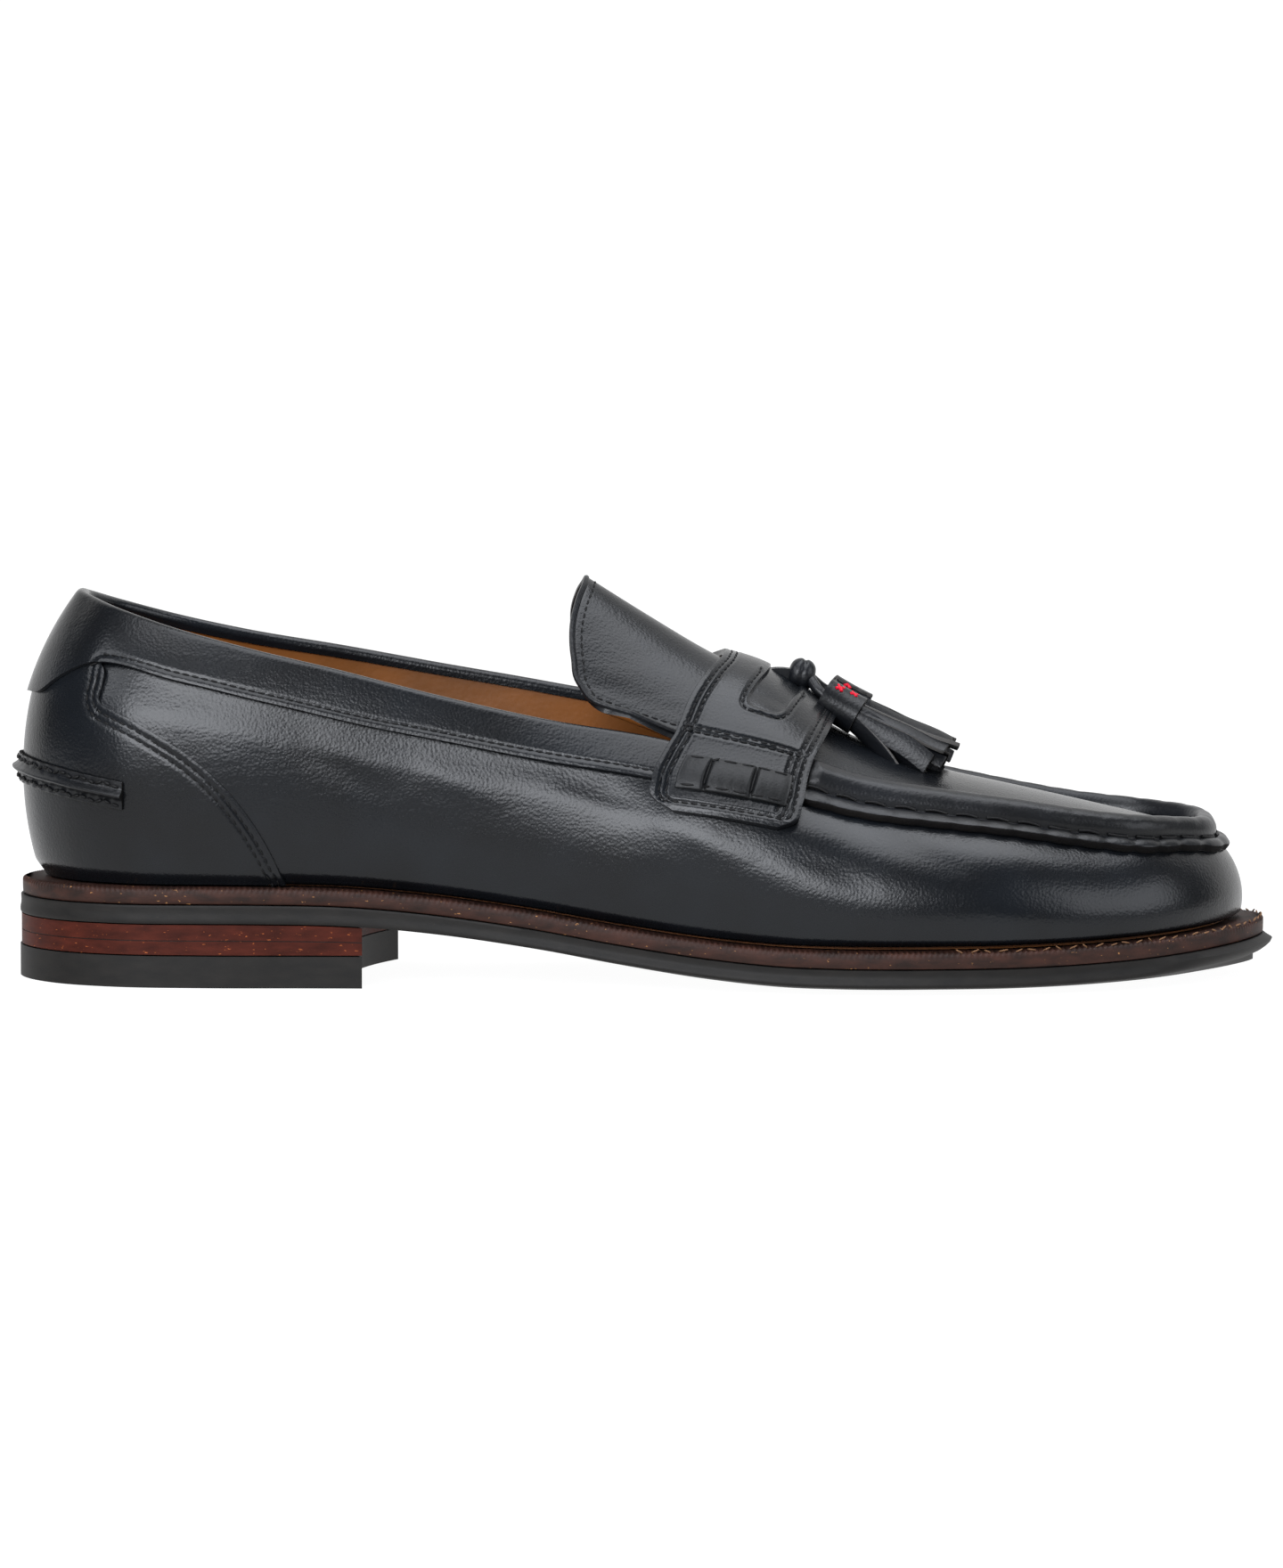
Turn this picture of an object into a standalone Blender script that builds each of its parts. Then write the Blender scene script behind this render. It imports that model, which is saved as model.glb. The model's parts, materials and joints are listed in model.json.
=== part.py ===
"""Tassel loafer, right shoe: hollow upper on a true last, saddle strap, two tassels, layered sole.

The shoe is worked out in the last's frame: x from the back of the sole to the toe, y across
(lateral side negative), z up from the floor. At the end the whole shoe is moved so that the
origin is under the middle of its box.
"""
import math

import bmesh
import bpy
import numpy as np
from mathutils import Vector

MM = 0.001

# Driving sizes of the last and the sole
SOLE_LENGTH = 299.5 * MM
BALL_WIDTH = 105.0 * MM
QUARTER_HEIGHT = 70.0 * MM
INSTEP_HEIGHT = 40.0 * MM
RIDGE_HEIGHT = 62.0 * MM
HEEL_RISE = 13.2 * MM
TOE_SPRING = 3.7 * MM
WELT_WIDTH = 6.0 * MM

# Thicknesses of the layers
OUTSOLE_THICKNESS = 4.3 * MM
OUTSOLE_CROWN = 2.0 * MM
MIDSOLE_THICKNESS = 4.2 * MM
TOP_LIFT_THICKNESS = 7.5 * MM
INSOLE_THICKNESS = 3.0 * MM
WALL = 2.0 * MM
OVERLAY = 1.0 * MM
STRAP_THICKNESS = 1.8 * MM
TONGUE_THICKNESS = 1.8 * MM
GAP = 0.3 * MM

# Heel block
BREAST = 83.5 * MM
BREAST_SLANT = 7.0 * MM
BREAST_HOLLOW = 7.0 * MM

# Collar, heel patch, counter and back strip
BAND_WIDTH = 12.4 * MM
BAND_FRONT = 150.0 * MM
PATCH_FRONT = 21.0 * MM
PATCH_DROP = 28.5 * MM
COUNTER_FRONT = 64.0 * MM
STRIP_LENGTH = 25.0 * MM
STRIP_WIDTH = 6.5 * MM
STRIP_HEIGHT = 26.5 * MM
STRIP_SLOPE = 4.5 * MM
PIPING = 1.6 * MM
PATCH_TURN = 1.8
COUNTER_TOP = 44.8 * MM
COUNTER_TURN = 0.62
COUNTER_FOOT = 0.004
COUNTER_TIP = 0.03
COUNTER_GAP = 0.012
COUNTER_OFF = 0.55 * MM

# Throat, tongue, apron seam and saddle strap
THROAT = 177.5 * MM
TONGUE_REACH = 41.3 * MM
TONGUE_INSET = 2.9 * MM
TONGUE_RISE = 4.0 * MM
SEAM_START = 190.5 * MM
SEAM_WIDTH = 10.0 * MM
SEAM_HEIGHT = 4.0 * MM
WINDOW_DEPTH = 0.9 * MM
ROLL_HEIGHT = 2.6 * MM
ROLL_EDGE = 0.5 * MM

# Tassels
KNOT_RADIUS = 3.1 * MM
KNOT_AT = 187.0 * MM
THONG_RADIUS = 1.5 * MM
LOOP_RADIUS = 1.15 * MM
HEAD_RADIUS = 3.9 * MM
HEAD_LENGTH = 10.4 * MM
STRIP_LEATHER = 1.1 * MM
FRINGE_LENGTH = 22.0 * MM
TASSEL_SPREAD = 5.0 * MM
TASSEL_AHEAD = 6.3 * MM
TASSEL_DROP = 2.5 * MM
TASSEL_FALL = 0.50
TASSEL_TURN = 0.16
MEDIAL_AHEAD = 1.4 * MM
MEDIAL_RISE = 0.2 * MM

# Mesh fineness
COLUMNS = 88
WALL_ROWS = 8
PLUG_ROWS = 8
TOE_CAP = 3
RUNGS = 30
HEEL_RUNGS = 14
ACROSS = 4
SEAM_RINGS = 38
STRAP_ROWS = 24
STRAP_COLUMNS = 8

BLACK_LEATHER = ("black_leather", (0.016, 0.018, 0.023), 0.32, 0.0)
TAN_LEATHER = ("tan_leather", (0.42, 0.20, 0.07), 0.50, 0.0)
LEATHERBOARD = ("brown_leatherboard", (0.085, 0.036, 0.023), 0.55, 0.0)
STACKED_LEATHER = ("red_brown_stack", (0.15, 0.030, 0.015), 0.40, 0.0)
BLACK_RUBBER = ("black_rubber", (0.022, 0.021, 0.020), 0.70, 0.0)

# Outline of the sole, heel to toe: along in sole lengths, the two sides in ball widths
OUTLINE = [
    # along, lateral, medial
    (0.0000, 0.000, 0.000),
    (0.0100, -0.124, 0.119),
    (0.0370, -0.229, 0.214),
    (0.0800, -0.300, 0.281),
    (0.1500, -0.331, 0.310),
    (0.2340, -0.335, 0.314),
    (0.3170, -0.343, 0.295),
    (0.4010, -0.370, 0.286),
    (0.4840, -0.414, 0.314),
    (0.5680, -0.471, 0.367),
    (0.6510, -0.517, 0.424),
    (0.7280, -0.529, 0.452),
    (0.7950, -0.508, 0.452),
    (0.8550, -0.455, 0.420),
    (0.9080, -0.380, 0.371),
    (0.9520, -0.276, 0.288),
    (0.9833, -0.152, 0.190),
    (1.0000, 0.020, 0.020),
]

# Level of the sole: how much of the heel rise and of the toe spring is there
LEVEL = [
    # along, heel, toe
    (0.00, 1.00, 0.00),
    (0.10, 1.00, 0.00),
    (0.20, 1.00, 0.00),
    (0.26, 0.97, 0.00),
    (0.33, 0.84, 0.00),
    (0.41, 0.60, 0.00),
    (0.48, 0.34, 0.00),
    (0.55, 0.13, 0.00),
    (0.61, 0.02, 0.00),
    (0.65, 0.00, 0.00),
    (0.73, 0.00, 0.01),
    (0.79, 0.00, 0.05),
    (0.85, 0.00, 0.18),
    (0.91, 0.00, 0.43),
    (0.96, 0.00, 0.72),
    (1.00, 0.00, 1.00),
]

# Collar sections, one row for each: where the wall leaves the sole (foot, in sole lengths), how far
# in from its edge (inset, in welt widths), how it swells (belly and shoulder, in ball widths, with
# the shoulder's height in crest), and its top: along in sole lengths, across in ball widths,
# height above the sole in quarter heights
LATERAL_QUARTER = [
    # foot, inset, belly, shoulder, crest, along, across, height
    (0.030, 0.98, 0.068, 0.050, 0.70, 0.0585, -0.080, 0.976),
    (0.062, 0.85, 0.062, 0.044, 0.70, 0.0800, -0.158, 0.944),
    (0.105, 0.70, 0.052, 0.034, 0.70, 0.1250, -0.230, 0.884),
    (0.167, 0.60, 0.045, 0.026, 0.70, 0.1840, -0.268, 0.817),
    (0.250, 0.50, 0.043, 0.020, 0.70, 0.2580, -0.288, 0.747),
    (0.334, 0.48, 0.042, 0.016, 0.70, 0.3370, -0.298, 0.690),
    (0.417, 0.48, 0.043, 0.008, 0.72, 0.4210, -0.304, 0.660),
    (0.501, 0.50, 0.046, -0.006, 0.74, 0.5060, -0.312, 0.658),
]
MEDIAL_QUARTER = [
    # foot, inset, belly, shoulder, crest, along, across, height
    (0.030, 0.98, 0.068, 0.050, 0.70, 0.0585, 0.080, 0.973),
    (0.062, 0.85, 0.060, 0.044, 0.70, 0.0790, 0.154, 0.938),
    (0.105, 0.70, 0.050, 0.036, 0.70, 0.1210, 0.224, 0.882),
    (0.167, 0.60, 0.042, 0.030, 0.70, 0.1790, 0.264, 0.822),
    (0.250, 0.50, 0.036, 0.028, 0.70, 0.2570, 0.288, 0.767),
    (0.334, 0.48, 0.030, 0.030, 0.70, 0.3370, 0.295, 0.731),
    (0.417, 0.48, 0.032, 0.030, 0.72, 0.4210, 0.296, 0.716),
    (0.501, 0.50, 0.038, 0.016, 0.74, 0.5060, 0.296, 0.702),
]

# Vamp sections, the same columns; heights in instep heights, up to the apron seam
LATERAL_VAMP = [
    # foot, inset, belly, shoulder, crest, along, across, height
    (0.584, 0.52, 0.056, -0.034, 0.77, 0.5880, -0.314, 1.060),
    (0.658, 0.55, 0.064, -0.066, 0.77, 0.6640, -0.306, 0.893),
    (0.735, 0.56, 0.066, -0.076, 0.77, 0.7340, -0.304, 0.805),
    (0.800, 0.56, 0.062, -0.066, 0.77, 0.7900, -0.300, 0.740),
    (0.856, 0.60, 0.054, -0.048, 0.78, 0.8380, -0.280, 0.665),
    (0.905, 0.68, 0.044, -0.030, 0.80, 0.8880, -0.240, 0.598),
    (0.946, 0.84, 0.034, -0.018, 0.84, 0.9235, -0.150, 0.545),
]
MEDIAL_VAMP = [
    # foot, inset, belly, shoulder, crest, along, across, height
    (0.584, 0.52, 0.050, -0.022, 0.77, 0.5880, 0.292, 1.080),
    (0.658, 0.55, 0.058, -0.050, 0.77, 0.6640, 0.284, 0.900),
    (0.735, 0.56, 0.060, -0.060, 0.77, 0.7340, 0.279, 0.798),
    (0.800, 0.56, 0.057, -0.052, 0.77, 0.7950, 0.272, 0.705),
    (0.856, 0.60, 0.050, -0.036, 0.78, 0.8460, 0.258, 0.628),
    (0.905, 0.68, 0.042, -0.024, 0.80, 0.8940, 0.236, 0.572),
    (0.946, 0.84, 0.034, -0.016, 0.84, 0.9265, 0.162, 0.534),
]
HEEL_SECTION = (0.000, 1.03, 0.070, 0.050, 0.70, 0.0518, 0.000, 0.990)
TOE_SECTION = (1.000, 1.28, 0.027, -0.010, 0.88, 0.9440, 0.014, 0.495)

# Middle line over the instep, from the tongue's tip to the toe: heights above the ball of the sole
RIDGE = [
    # along, height
    (0.4548, 1.362),
    (0.5010, 1.222),
    (0.5520, 1.076),
    (0.5937, 0.979),
    (0.6277, 0.866),
    (0.6494, 0.793),
    (0.6698, 0.743),
    (0.7045, 0.674),
    (0.7426, 0.618),
    (0.7780, 0.581),
    (0.8147, 0.542),
    (0.8681, 0.482),
    (0.9082, 0.435),
    (0.9500, 0.371),
]

# Saddle strap: each row is a place on the body (0 to 1 up the wall, 1 to 2 over the arch), its
# rear and front edges in sole lengths, and how far the strap stands off there in overlays
STRAP = [
    # place, rear, front, rear_off, front_off
    (0.600, 0.5200, 0.6000, 0.3, 0.3),
    (0.640, 0.5060, 0.6110, 0.3, 0.5),
    (0.740, 0.5020, 0.6180, 0.4, 1.0),
    (0.880, 0.5090, 0.6230, 0.6, 2.2),
    (1.000, 0.5170, 0.6270, 0.9, 3.4),
    (1.250, 0.5290, 0.6350, 0.9, 3.2),
    (1.500, 0.5420, 0.6390, 0.7, 2.4),
    (1.750, 0.5530, 0.6410, 0.5, 1.8),
    (2.000, 0.5570, 0.6410, 0.4, 1.5),
]

# Rear edge of the tongue: how far back it reaches, in tongue reaches, from its side to its middle
TONGUE_EDGE = [
    # inward, back
    (0.00, 0.74),
    (0.04, 0.90),
    (0.14, 1.03),
    (0.29, 1.07),
    (0.46, 1.08),
    (0.70, 1.045),
    (0.88, 1.008),
    (1.00, 1.00),
]

# Section of the raised seam: down the wall from the seam in seam widths, up in seam heights
SEAM_SECTION = [
    # down, up
    (-0.24, 0.375),
    (-0.17, 0.075),
    (0.06, 0.075),
    (0.34, 0.075),
    (0.70, 0.075),
    (0.77, 0.225),
    (0.72, 0.425),
    (0.46, 0.500),
    (0.33, 0.375),
    (0.27, 0.600),
    (0.15, 0.875),
    (-0.01, 0.975),
    (-0.17, 0.800),
]

# Window in the strap, by the strap's mesh rows and columns, and the rolls at its ends: the share
# of the strap's width that they cover and of its length over the shoe
WINDOW = (7, 17, 3, 7)
ROLL_WIDTH = (0.12, 0.88)
ROLL_LENGTH = (0.050, 0.135)

# Loop of the thong behind the knot: back, aside and up, in knot radii
LOOP = [
    # back, aside, up
    (2.90, 0.52, 0.00),
    (2.20, 0.42, 0.08),
    (1.35, 0.26, 0.12),
    (0.48, 0.06, 0.10),
]

# Tassel strips: where each leaves the head and where its tip is, outward and up from the tassel's
# axis in head radii, then its length in fringe lengths and its width in head radii
STRIPS = [
    # outward, up, tip_outward, tip_up, length, width
    (0.72, 0.05, 1.45, -0.10, 0.97, 1.35),
    (0.50, 0.58, 1.00, 0.55, 1.05, 1.10),
    (-0.05, 0.74, -0.10, 0.95, 1.12, 1.20),
    (-0.55, 0.48, -0.85, 0.65, 1.08, 1.05),
    (-0.70, -0.10, -0.75, -0.15, 1.10, 1.15),
    (0.55, -0.50, 2.60, -1.60, 0.92, 1.20),
    (0.00, -0.60, 0.25, -0.60, 1.05, 1.20),
]


class Curve:
    """Smooth curve through rows of values, one row at each knot."""

    def __init__(self, knots, rows, period=0.0):
        knots = np.array(knots, float)
        rows = np.array(rows, float).reshape(len(knots), -1)
        self.period = period
        if period:
            knots = np.concatenate([knots[-2:] - period, knots, knots[:2] + period])
            rows = np.concatenate([rows[-2:], rows, rows[:2]])
        steps = np.diff(knots)[:, None]
        rates = np.diff(rows, axis=0) / steps
        slopes = np.empty_like(rows)
        slopes[0], slopes[-1] = rates[0], rates[-1]
        slopes[1:-1] = (rates[:-1] * steps[1:] + rates[1:] * steps[:-1]) / (steps[1:] + steps[:-1])
        self.knots, self.rows, self.slopes = knots, rows, slopes

    def __call__(self, at):
        if self.period:
            at = at % self.period
        i = int(np.clip(np.searchsorted(self.knots, at) - 1, 0, len(self.knots) - 2))
        step = self.knots[i + 1] - self.knots[i]
        s = min(max((at - self.knots[i]) / step, 0.0), 1.0)
        start, end = self.rows[i], self.rows[i + 1]
        out, back = self.slopes[i] * step, self.slopes[i + 1] * step
        return (start * (1 + 2 * s) * (1 - s) ** 2 + out * s * (1 - s) ** 2
                + end * s * s * (3 - 2 * s) + back * s * s * (s - 1))


def unit(vector):
    return vector / max(np.linalg.norm(vector), 1e-12)


def mix(a, b, share):
    return a + (b - a) * share


def build_outline():
    """Closed outline of the sole; 0 is the back of the heel, 1 the toe, 2 the heel again."""
    rows = np.array(OUTLINE)
    side = np.stack([rows[:, 0] * SOLE_LENGTH, (rows[:, 2] - rows[:, 1]) * BALL_WIDTH / 2], 1)
    run = np.concatenate([[0.0], np.cumsum(np.linalg.norm(np.diff(side, axis=0), axis=1))])
    knots = run / run[-1]
    points = [(r[0] * SOLE_LENGTH, r[1] * BALL_WIDTH) for r in rows]
    points += [(r[0] * SOLE_LENGTH, r[2] * BALL_WIDTH) for r in rows[-2:0:-1]]
    ring = np.concatenate([knots, 2.0 - knots[-2:0:-1]])
    return Curve(ring, points, period=2.0), knots, rows[:, 0]


OUTLINE_CURVE, OUTLINE_KNOTS, OUTLINE_ALONG = build_outline()
LEVEL_CURVE = Curve([row[0] for row in LEVEL], [row[1:] for row in LEVEL])
RIDGE_CURVE = Curve([row[0] for row in RIDGE], [row[1:] for row in RIDGE])


def place_of(along, medial=False):
    """Place round the outline of a share of the sole's length, on either side."""
    u = float(np.interp(along, OUTLINE_ALONG, OUTLINE_KNOTS))
    return 2.0 - u if medial else u


def edge(u, inset=0.0):
    """Point on the sole's outline, moved in by inset, and the outward direction there."""
    tangent = OUTLINE_CURVE(u + 0.002) - OUTLINE_CURVE(u - 0.002)
    outward = unit(np.array([-tangent[1], tangent[0]]))
    point = OUTLINE_CURVE(u)
    centre = np.array([SOLE_LENGTH / 2, 0.0])
    if np.dot(outward, point - centre) < 0:
        outward = -outward
    return point - outward * inset, outward


def sole_level(x):
    """Height of the joint between outsole and midsole."""
    heel, toe = LEVEL_CURVE(x / SOLE_LENGTH)
    return OUTSOLE_THICKNESS + OUTSOLE_CROWN + HEEL_RISE * heel + TOE_SPRING * toe


def seat_level(x):
    """Height of the top of the midsole, on which the upper stands."""
    return sole_level(x) + MIDSOLE_THICKNESS


def tread_level(x, share):
    """Underside of the outsole; share is 0 on the middle line and 1 at the edge."""
    heel = LEVEL_CURVE(x / SOLE_LENGTH)[0]
    crown = OUTSOLE_CROWN * (1.0 - heel) * (1.0 - max(0.0, (share - 0.5) / 0.5) ** 2)
    return sole_level(x) - OUTSOLE_THICKNESS - crown


def ridge_level(x):
    """Height of the middle line over the instep."""
    return seat_level(SOLE_LENGTH * 0.70) + RIDGE_HEIGHT * RIDGE_CURVE(x / SOLE_LENGTH)[0]


def build_sections():
    """Periodic curve of the wall's sections round the shoe."""
    places, rows = [], []

    def add(row, medial, height):
        foot, inset, belly, shoulder, crest, along, across, rise = row
        x = foot * SOLE_LENGTH
        places.append(place_of(foot, medial))
        rows.append((inset * WELT_WIDTH, belly * BALL_WIDTH, shoulder * BALL_WIDTH, crest,
                     along * SOLE_LENGTH, across * BALL_WIDTH, seat_level(x) + rise * height))

    add(HEEL_SECTION, False, QUARTER_HEIGHT)
    for row in LATERAL_QUARTER:
        add(row, False, QUARTER_HEIGHT)
    for row in LATERAL_VAMP:
        add(row, False, INSTEP_HEIGHT)
    add(TOE_SECTION, False, INSTEP_HEIGHT)
    for row in reversed(MEDIAL_VAMP):
        add(row, True, INSTEP_HEIGHT)
    for row in reversed(MEDIAL_QUARTER):
        add(row, True, QUARTER_HEIGHT)
    return Curve(places, rows, period=2.0)


SECTIONS = build_sections()


def wall(u, t):
    """Outer face of the upper's wall: u round the shoe, t from the sole (0) to the top (1)."""
    inset, belly, shoulder, crest, x, y, z = SECTIONS(u)
    foot, outward = edge(u, inset)
    base = np.array([foot[0], foot[1], seat_level(foot[0]) + GAP])
    out = np.array([outward[0], outward[1], 0.0])
    top = np.array([x, y, z])
    up = np.array([0.0, 0.0, z - base[2]])
    first = base + out * belly + up * 0.31
    second = base + out * shoulder + up * crest
    s = 1.0 - t
    return base * s ** 3 + first * 3 * s * s * t + second * 3 * s * t * t + top * t ** 3


def wall_normal(u, t):
    """Outward direction of the wall."""
    t = min(max(t, 0.01), 0.99)
    round_way = wall(u + 0.003, t) - wall(u - 0.003, t)
    up_way = wall(u, t + 0.01) - wall(u, t - 0.01)
    normal = unit(np.cross(round_way, up_way))
    outward = edge(u)[1]
    if normal[0] * outward[0] + normal[1] * outward[1] < 0:
        normal = -normal
    return normal


def wall_out(u, t, off):
    return wall(u, t) + wall_normal(u, t) * off


def wall_place(u, height):
    """Share up the wall at which it is this high."""
    low, high = 0.0, 1.0
    for _ in range(24):
        middle = (low + high) / 2
        if wall(u, middle)[2] < height:
            low = middle
        else:
            high = middle
    return (low + high) / 2


def below_rim(u, drop):
    """Share up the wall at a distance down from its top."""
    steps = [wall(u, 1.0 - k / 40) for k in range(41)]
    run = np.concatenate([[0.0], np.cumsum([np.linalg.norm(b - a) for a, b in zip(steps, steps[1:])])])
    return 1.0 - float(np.interp(drop, run, np.arange(41))) / 40


def arch(left, right, ridge, across, power=1.9):
    """Arched row between two side points; across runs from 0 to 1."""
    point = mix(left, right, across)
    lift = ridge - (left[2] + right[2]) / 2
    point[2] += lift * (1.0 - abs(2 * across - 1) ** power)
    return point


def column_at(x, medial=False):
    return place_of(x / SOLE_LENGTH, medial)


def plug(u, across):
    """Apron: rows between the lateral and the medial top of the wall."""
    left, right = wall(u, 1.0), wall(2.0 - u, 1.0)
    return arch(left, right, ridge_level((left[0] + right[0]) / 2), across)


def plug_level(x, y):
    """Height of the apron over a point of the plan."""
    u = float(np.interp(x, PLUG_REACH, PLUG_PLACES))
    left, right = wall(u, 1.0), wall(2.0 - u, 1.0)
    width = max(right[1] - left[1], MM)
    return plug(u, min(max((y - left[1]) / width, 0.0), 1.0))[2]


PLUG_PLACES = np.linspace(column_at(SEAM_START) - 0.04, 1.0, 60)
PLUG_REACH = [(wall(u, 1.0)[0] + wall(2.0 - u, 1.0)[0]) / 2 for u in PLUG_PLACES]


def body(x, place, medial):
    """Outside of the shoe under the strap: up the wall, then over the arch to the middle line."""
    u = column_at(x)
    if place <= 1.0:
        return wall(2.0 - u if medial else u, place)
    across = (place - 1.0) / 2
    return plug(u, 1.0 - across if medial else across)


def body_out(x, place, medial, off):
    """Point off the body, along its mean direction there."""
    ahead = body(x + 2 * MM, place, medial) - body(x - 2 * MM, place, medial)
    upward = body(x, min(place + 0.12, 2.0), medial) - body(x, max(place - 0.12, 0.0), medial)
    if place > 1.9:
        upward = body(x, 1.88, not medial) - body(x, 1.88, medial)
    normal = unit(np.cross(ahead, upward))
    if normal[2] < 0:
        normal = -normal
    return body(x, place, medial) + normal * off


def material(spec):
    name, colour, roughness, metallic = spec
    found = bpy.data.materials.get(name)
    if found:
        return found
    made = bpy.data.materials.new(name)
    made.use_nodes = True
    shader = made.node_tree.nodes["Principled BSDF"]
    shader.inputs["Base Color"].default_value = (*colour, 1.0)
    shader.inputs["Roughness"].default_value = roughness
    shader.inputs["Metallic"].default_value = metallic
    return made


def place_mesh(name, bm, spec, angle=40):
    """Turn a bmesh into a named, smooth-shaded object."""
    mesh = bpy.data.meshes.new(name)
    bm.to_mesh(mesh)
    bm.free()
    mesh.shade_smooth()
    mesh.set_sharp_from_angle(angle=math.radians(angle))
    mesh.materials.append(material(spec))
    obj = bpy.data.objects.new(name, mesh)
    bpy.context.scene.collection.objects.link(obj)
    return obj


def sheet(columns, rows, point):
    """Grid whose corners run over 0 to 1 both ways, laid on a surface."""
    bm = bmesh.new()
    bmesh.ops.create_grid(bm, x_segments=columns, y_segments=rows, size=0.5)
    a_layer = bm.verts.layers.float.new("a")
    b_layer = bm.verts.layers.float.new("b")
    for vert in bm.verts:
        a, b = vert.co.x + 0.5, vert.co.y + 0.5
        vert[a_layer], vert[b_layer] = a, b
        vert.co = Vector(point(a, b))
    bmesh.ops.remove_doubles(bm, verts=bm.verts, dist=0.01 * MM)
    return bm


def slab(name, columns, rows, under, over, spec, angle=40):
    """Closed solid between two surfaces over the same grid."""
    bm = sheet(columns, rows, under)
    a_layer = bm.verts.layers.float["a"]
    b_layer = bm.verts.layers.float["b"]
    grown = bmesh.ops.extrude_face_region(bm, geom=bm.faces[:], use_keep_orig=True)
    for item in grown["geom"]:
        if isinstance(item, bmesh.types.BMVert):
            item.co = Vector(over(item[a_layer], item[b_layer]))
    bmesh.ops.recalc_face_normals(bm, faces=bm.faces)
    return place_mesh(name, bm, spec, angle)


def plate(name, spec, inset, under, over, end=1.0, front=None):
    """Layer of the sole between two levels; front bends its leading edge, for the heel."""

    def point(a, b, level):
        u = end * a
        left, right = edge(u, inset(u))[0], edge(2.0 - u, inset(2.0 - u))[0]
        x, y = mix(left, right, b)
        if front:
            x = front(a, b, x)
        return x, y, level(x, abs(2 * b - 1))

    return slab(name, HEEL_RUNGS if front else RUNGS, ACROSS,
                lambda a, b: point(a, b, under), lambda a, b: point(a, b, over), spec, 30)


def even_out(share):
    """Spacing that is finer at both ends."""
    return 0.5 - 0.5 * math.cos(math.pi * share)


def build_sole():
    """Outsole, midsole with its welt, heel stack, top lift and insole."""
    plate("outsole", BLACK_RUBBER, lambda u: 0.0,
          lambda x, s: tread_level(x, s), lambda x, s: sole_level(x))
    plate("midsole", LEATHERBOARD, lambda u: WELT_WIDTH * 0.1,
          lambda x, s: sole_level(x) + GAP, lambda x, s: seat_level(x))

    reach = column_at(BREAST)
    stack_under = TOP_LIFT_THICKNESS + GAP

    def breast(a, b, x):
        share = a ** 6
        return x + share * (BREAST_SLANT * (b - 0.5) - BREAST_HOLLOW * 4 * b * (1 - b))

    plate("heel_stack", STACKED_LEATHER, lambda u: GAP,
          lambda x, s: stack_under, lambda x, s: tread_level(x, 1.0) - GAP,
          end=reach, front=breast)
    plate("heel_top_lift", BLACK_RUBBER, lambda u: 0.0,
          lambda x, s: 0.0, lambda x, s: TOP_LIFT_THICKNESS,
          end=reach, front=breast)

    def insole_inset(u):
        return SECTIONS(u)[0] + WALL + 2 * GAP

    plate("insole", TAN_LEATHER, insole_inset,
          lambda x, s: seat_level(x) + GAP, lambda x, s: seat_level(x) + GAP + INSOLE_THICKNESS)


def throat_column():
    """Mesh column at which the apron begins."""
    return round(column_at(THROAT) * COLUMNS / 2)


def build_upper():
    """Hollow upper: the wall all round, with the apron closing its front, then its thickness."""
    bm = sheet(COLUMNS, WALL_ROWS, lambda a, b: wall(2.0 * a, b))
    first = throat_column()
    tops = []
    for i in range(COLUMNS):
        corner = Vector(wall(2.0 * i / COLUMNS, 1.0))
        tops.append(min(bm.verts, key=lambda v: (v.co - corner).length_squared))
    bm_rows = []
    last = COLUMNS // 2 - TOE_CAP
    for i in range(first, last + 1):
        left, right = tops[i], tops[COLUMNS - i]
        row = [left]
        for k in range(1, PLUG_ROWS):
            row.append(bm.verts.new(Vector(plug(2.0 * i / COLUMNS, k / PLUG_ROWS))))
        bm_rows.append(row + [right])
    for near, far in zip(bm_rows, bm_rows[1:]):
        for k in range(PLUG_ROWS):
            bm.faces.new((near[k], near[k + 1], far[k + 1], far[k]))
    bm.faces.new(bm_rows[-1] + tops[COLUMNS - last - 1:last:-1])
    bmesh.ops.recalc_face_normals(bm, faces=bm.faces)
    lowest = min(bm.faces, key=lambda f: f.calc_center_median().x)
    if lowest.normal.x > 0:
        bmesh.ops.reverse_faces(bm, faces=bm.faces)
    upper = place_mesh("upper", bm, BLACK_LEATHER)
    wall_thickness = upper.modifiers.new("wall", "SOLIDIFY")
    wall_thickness.thickness = WALL
    wall_thickness.offset = -1.0
    wall_thickness.use_even_offset = True
    return upper


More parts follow.
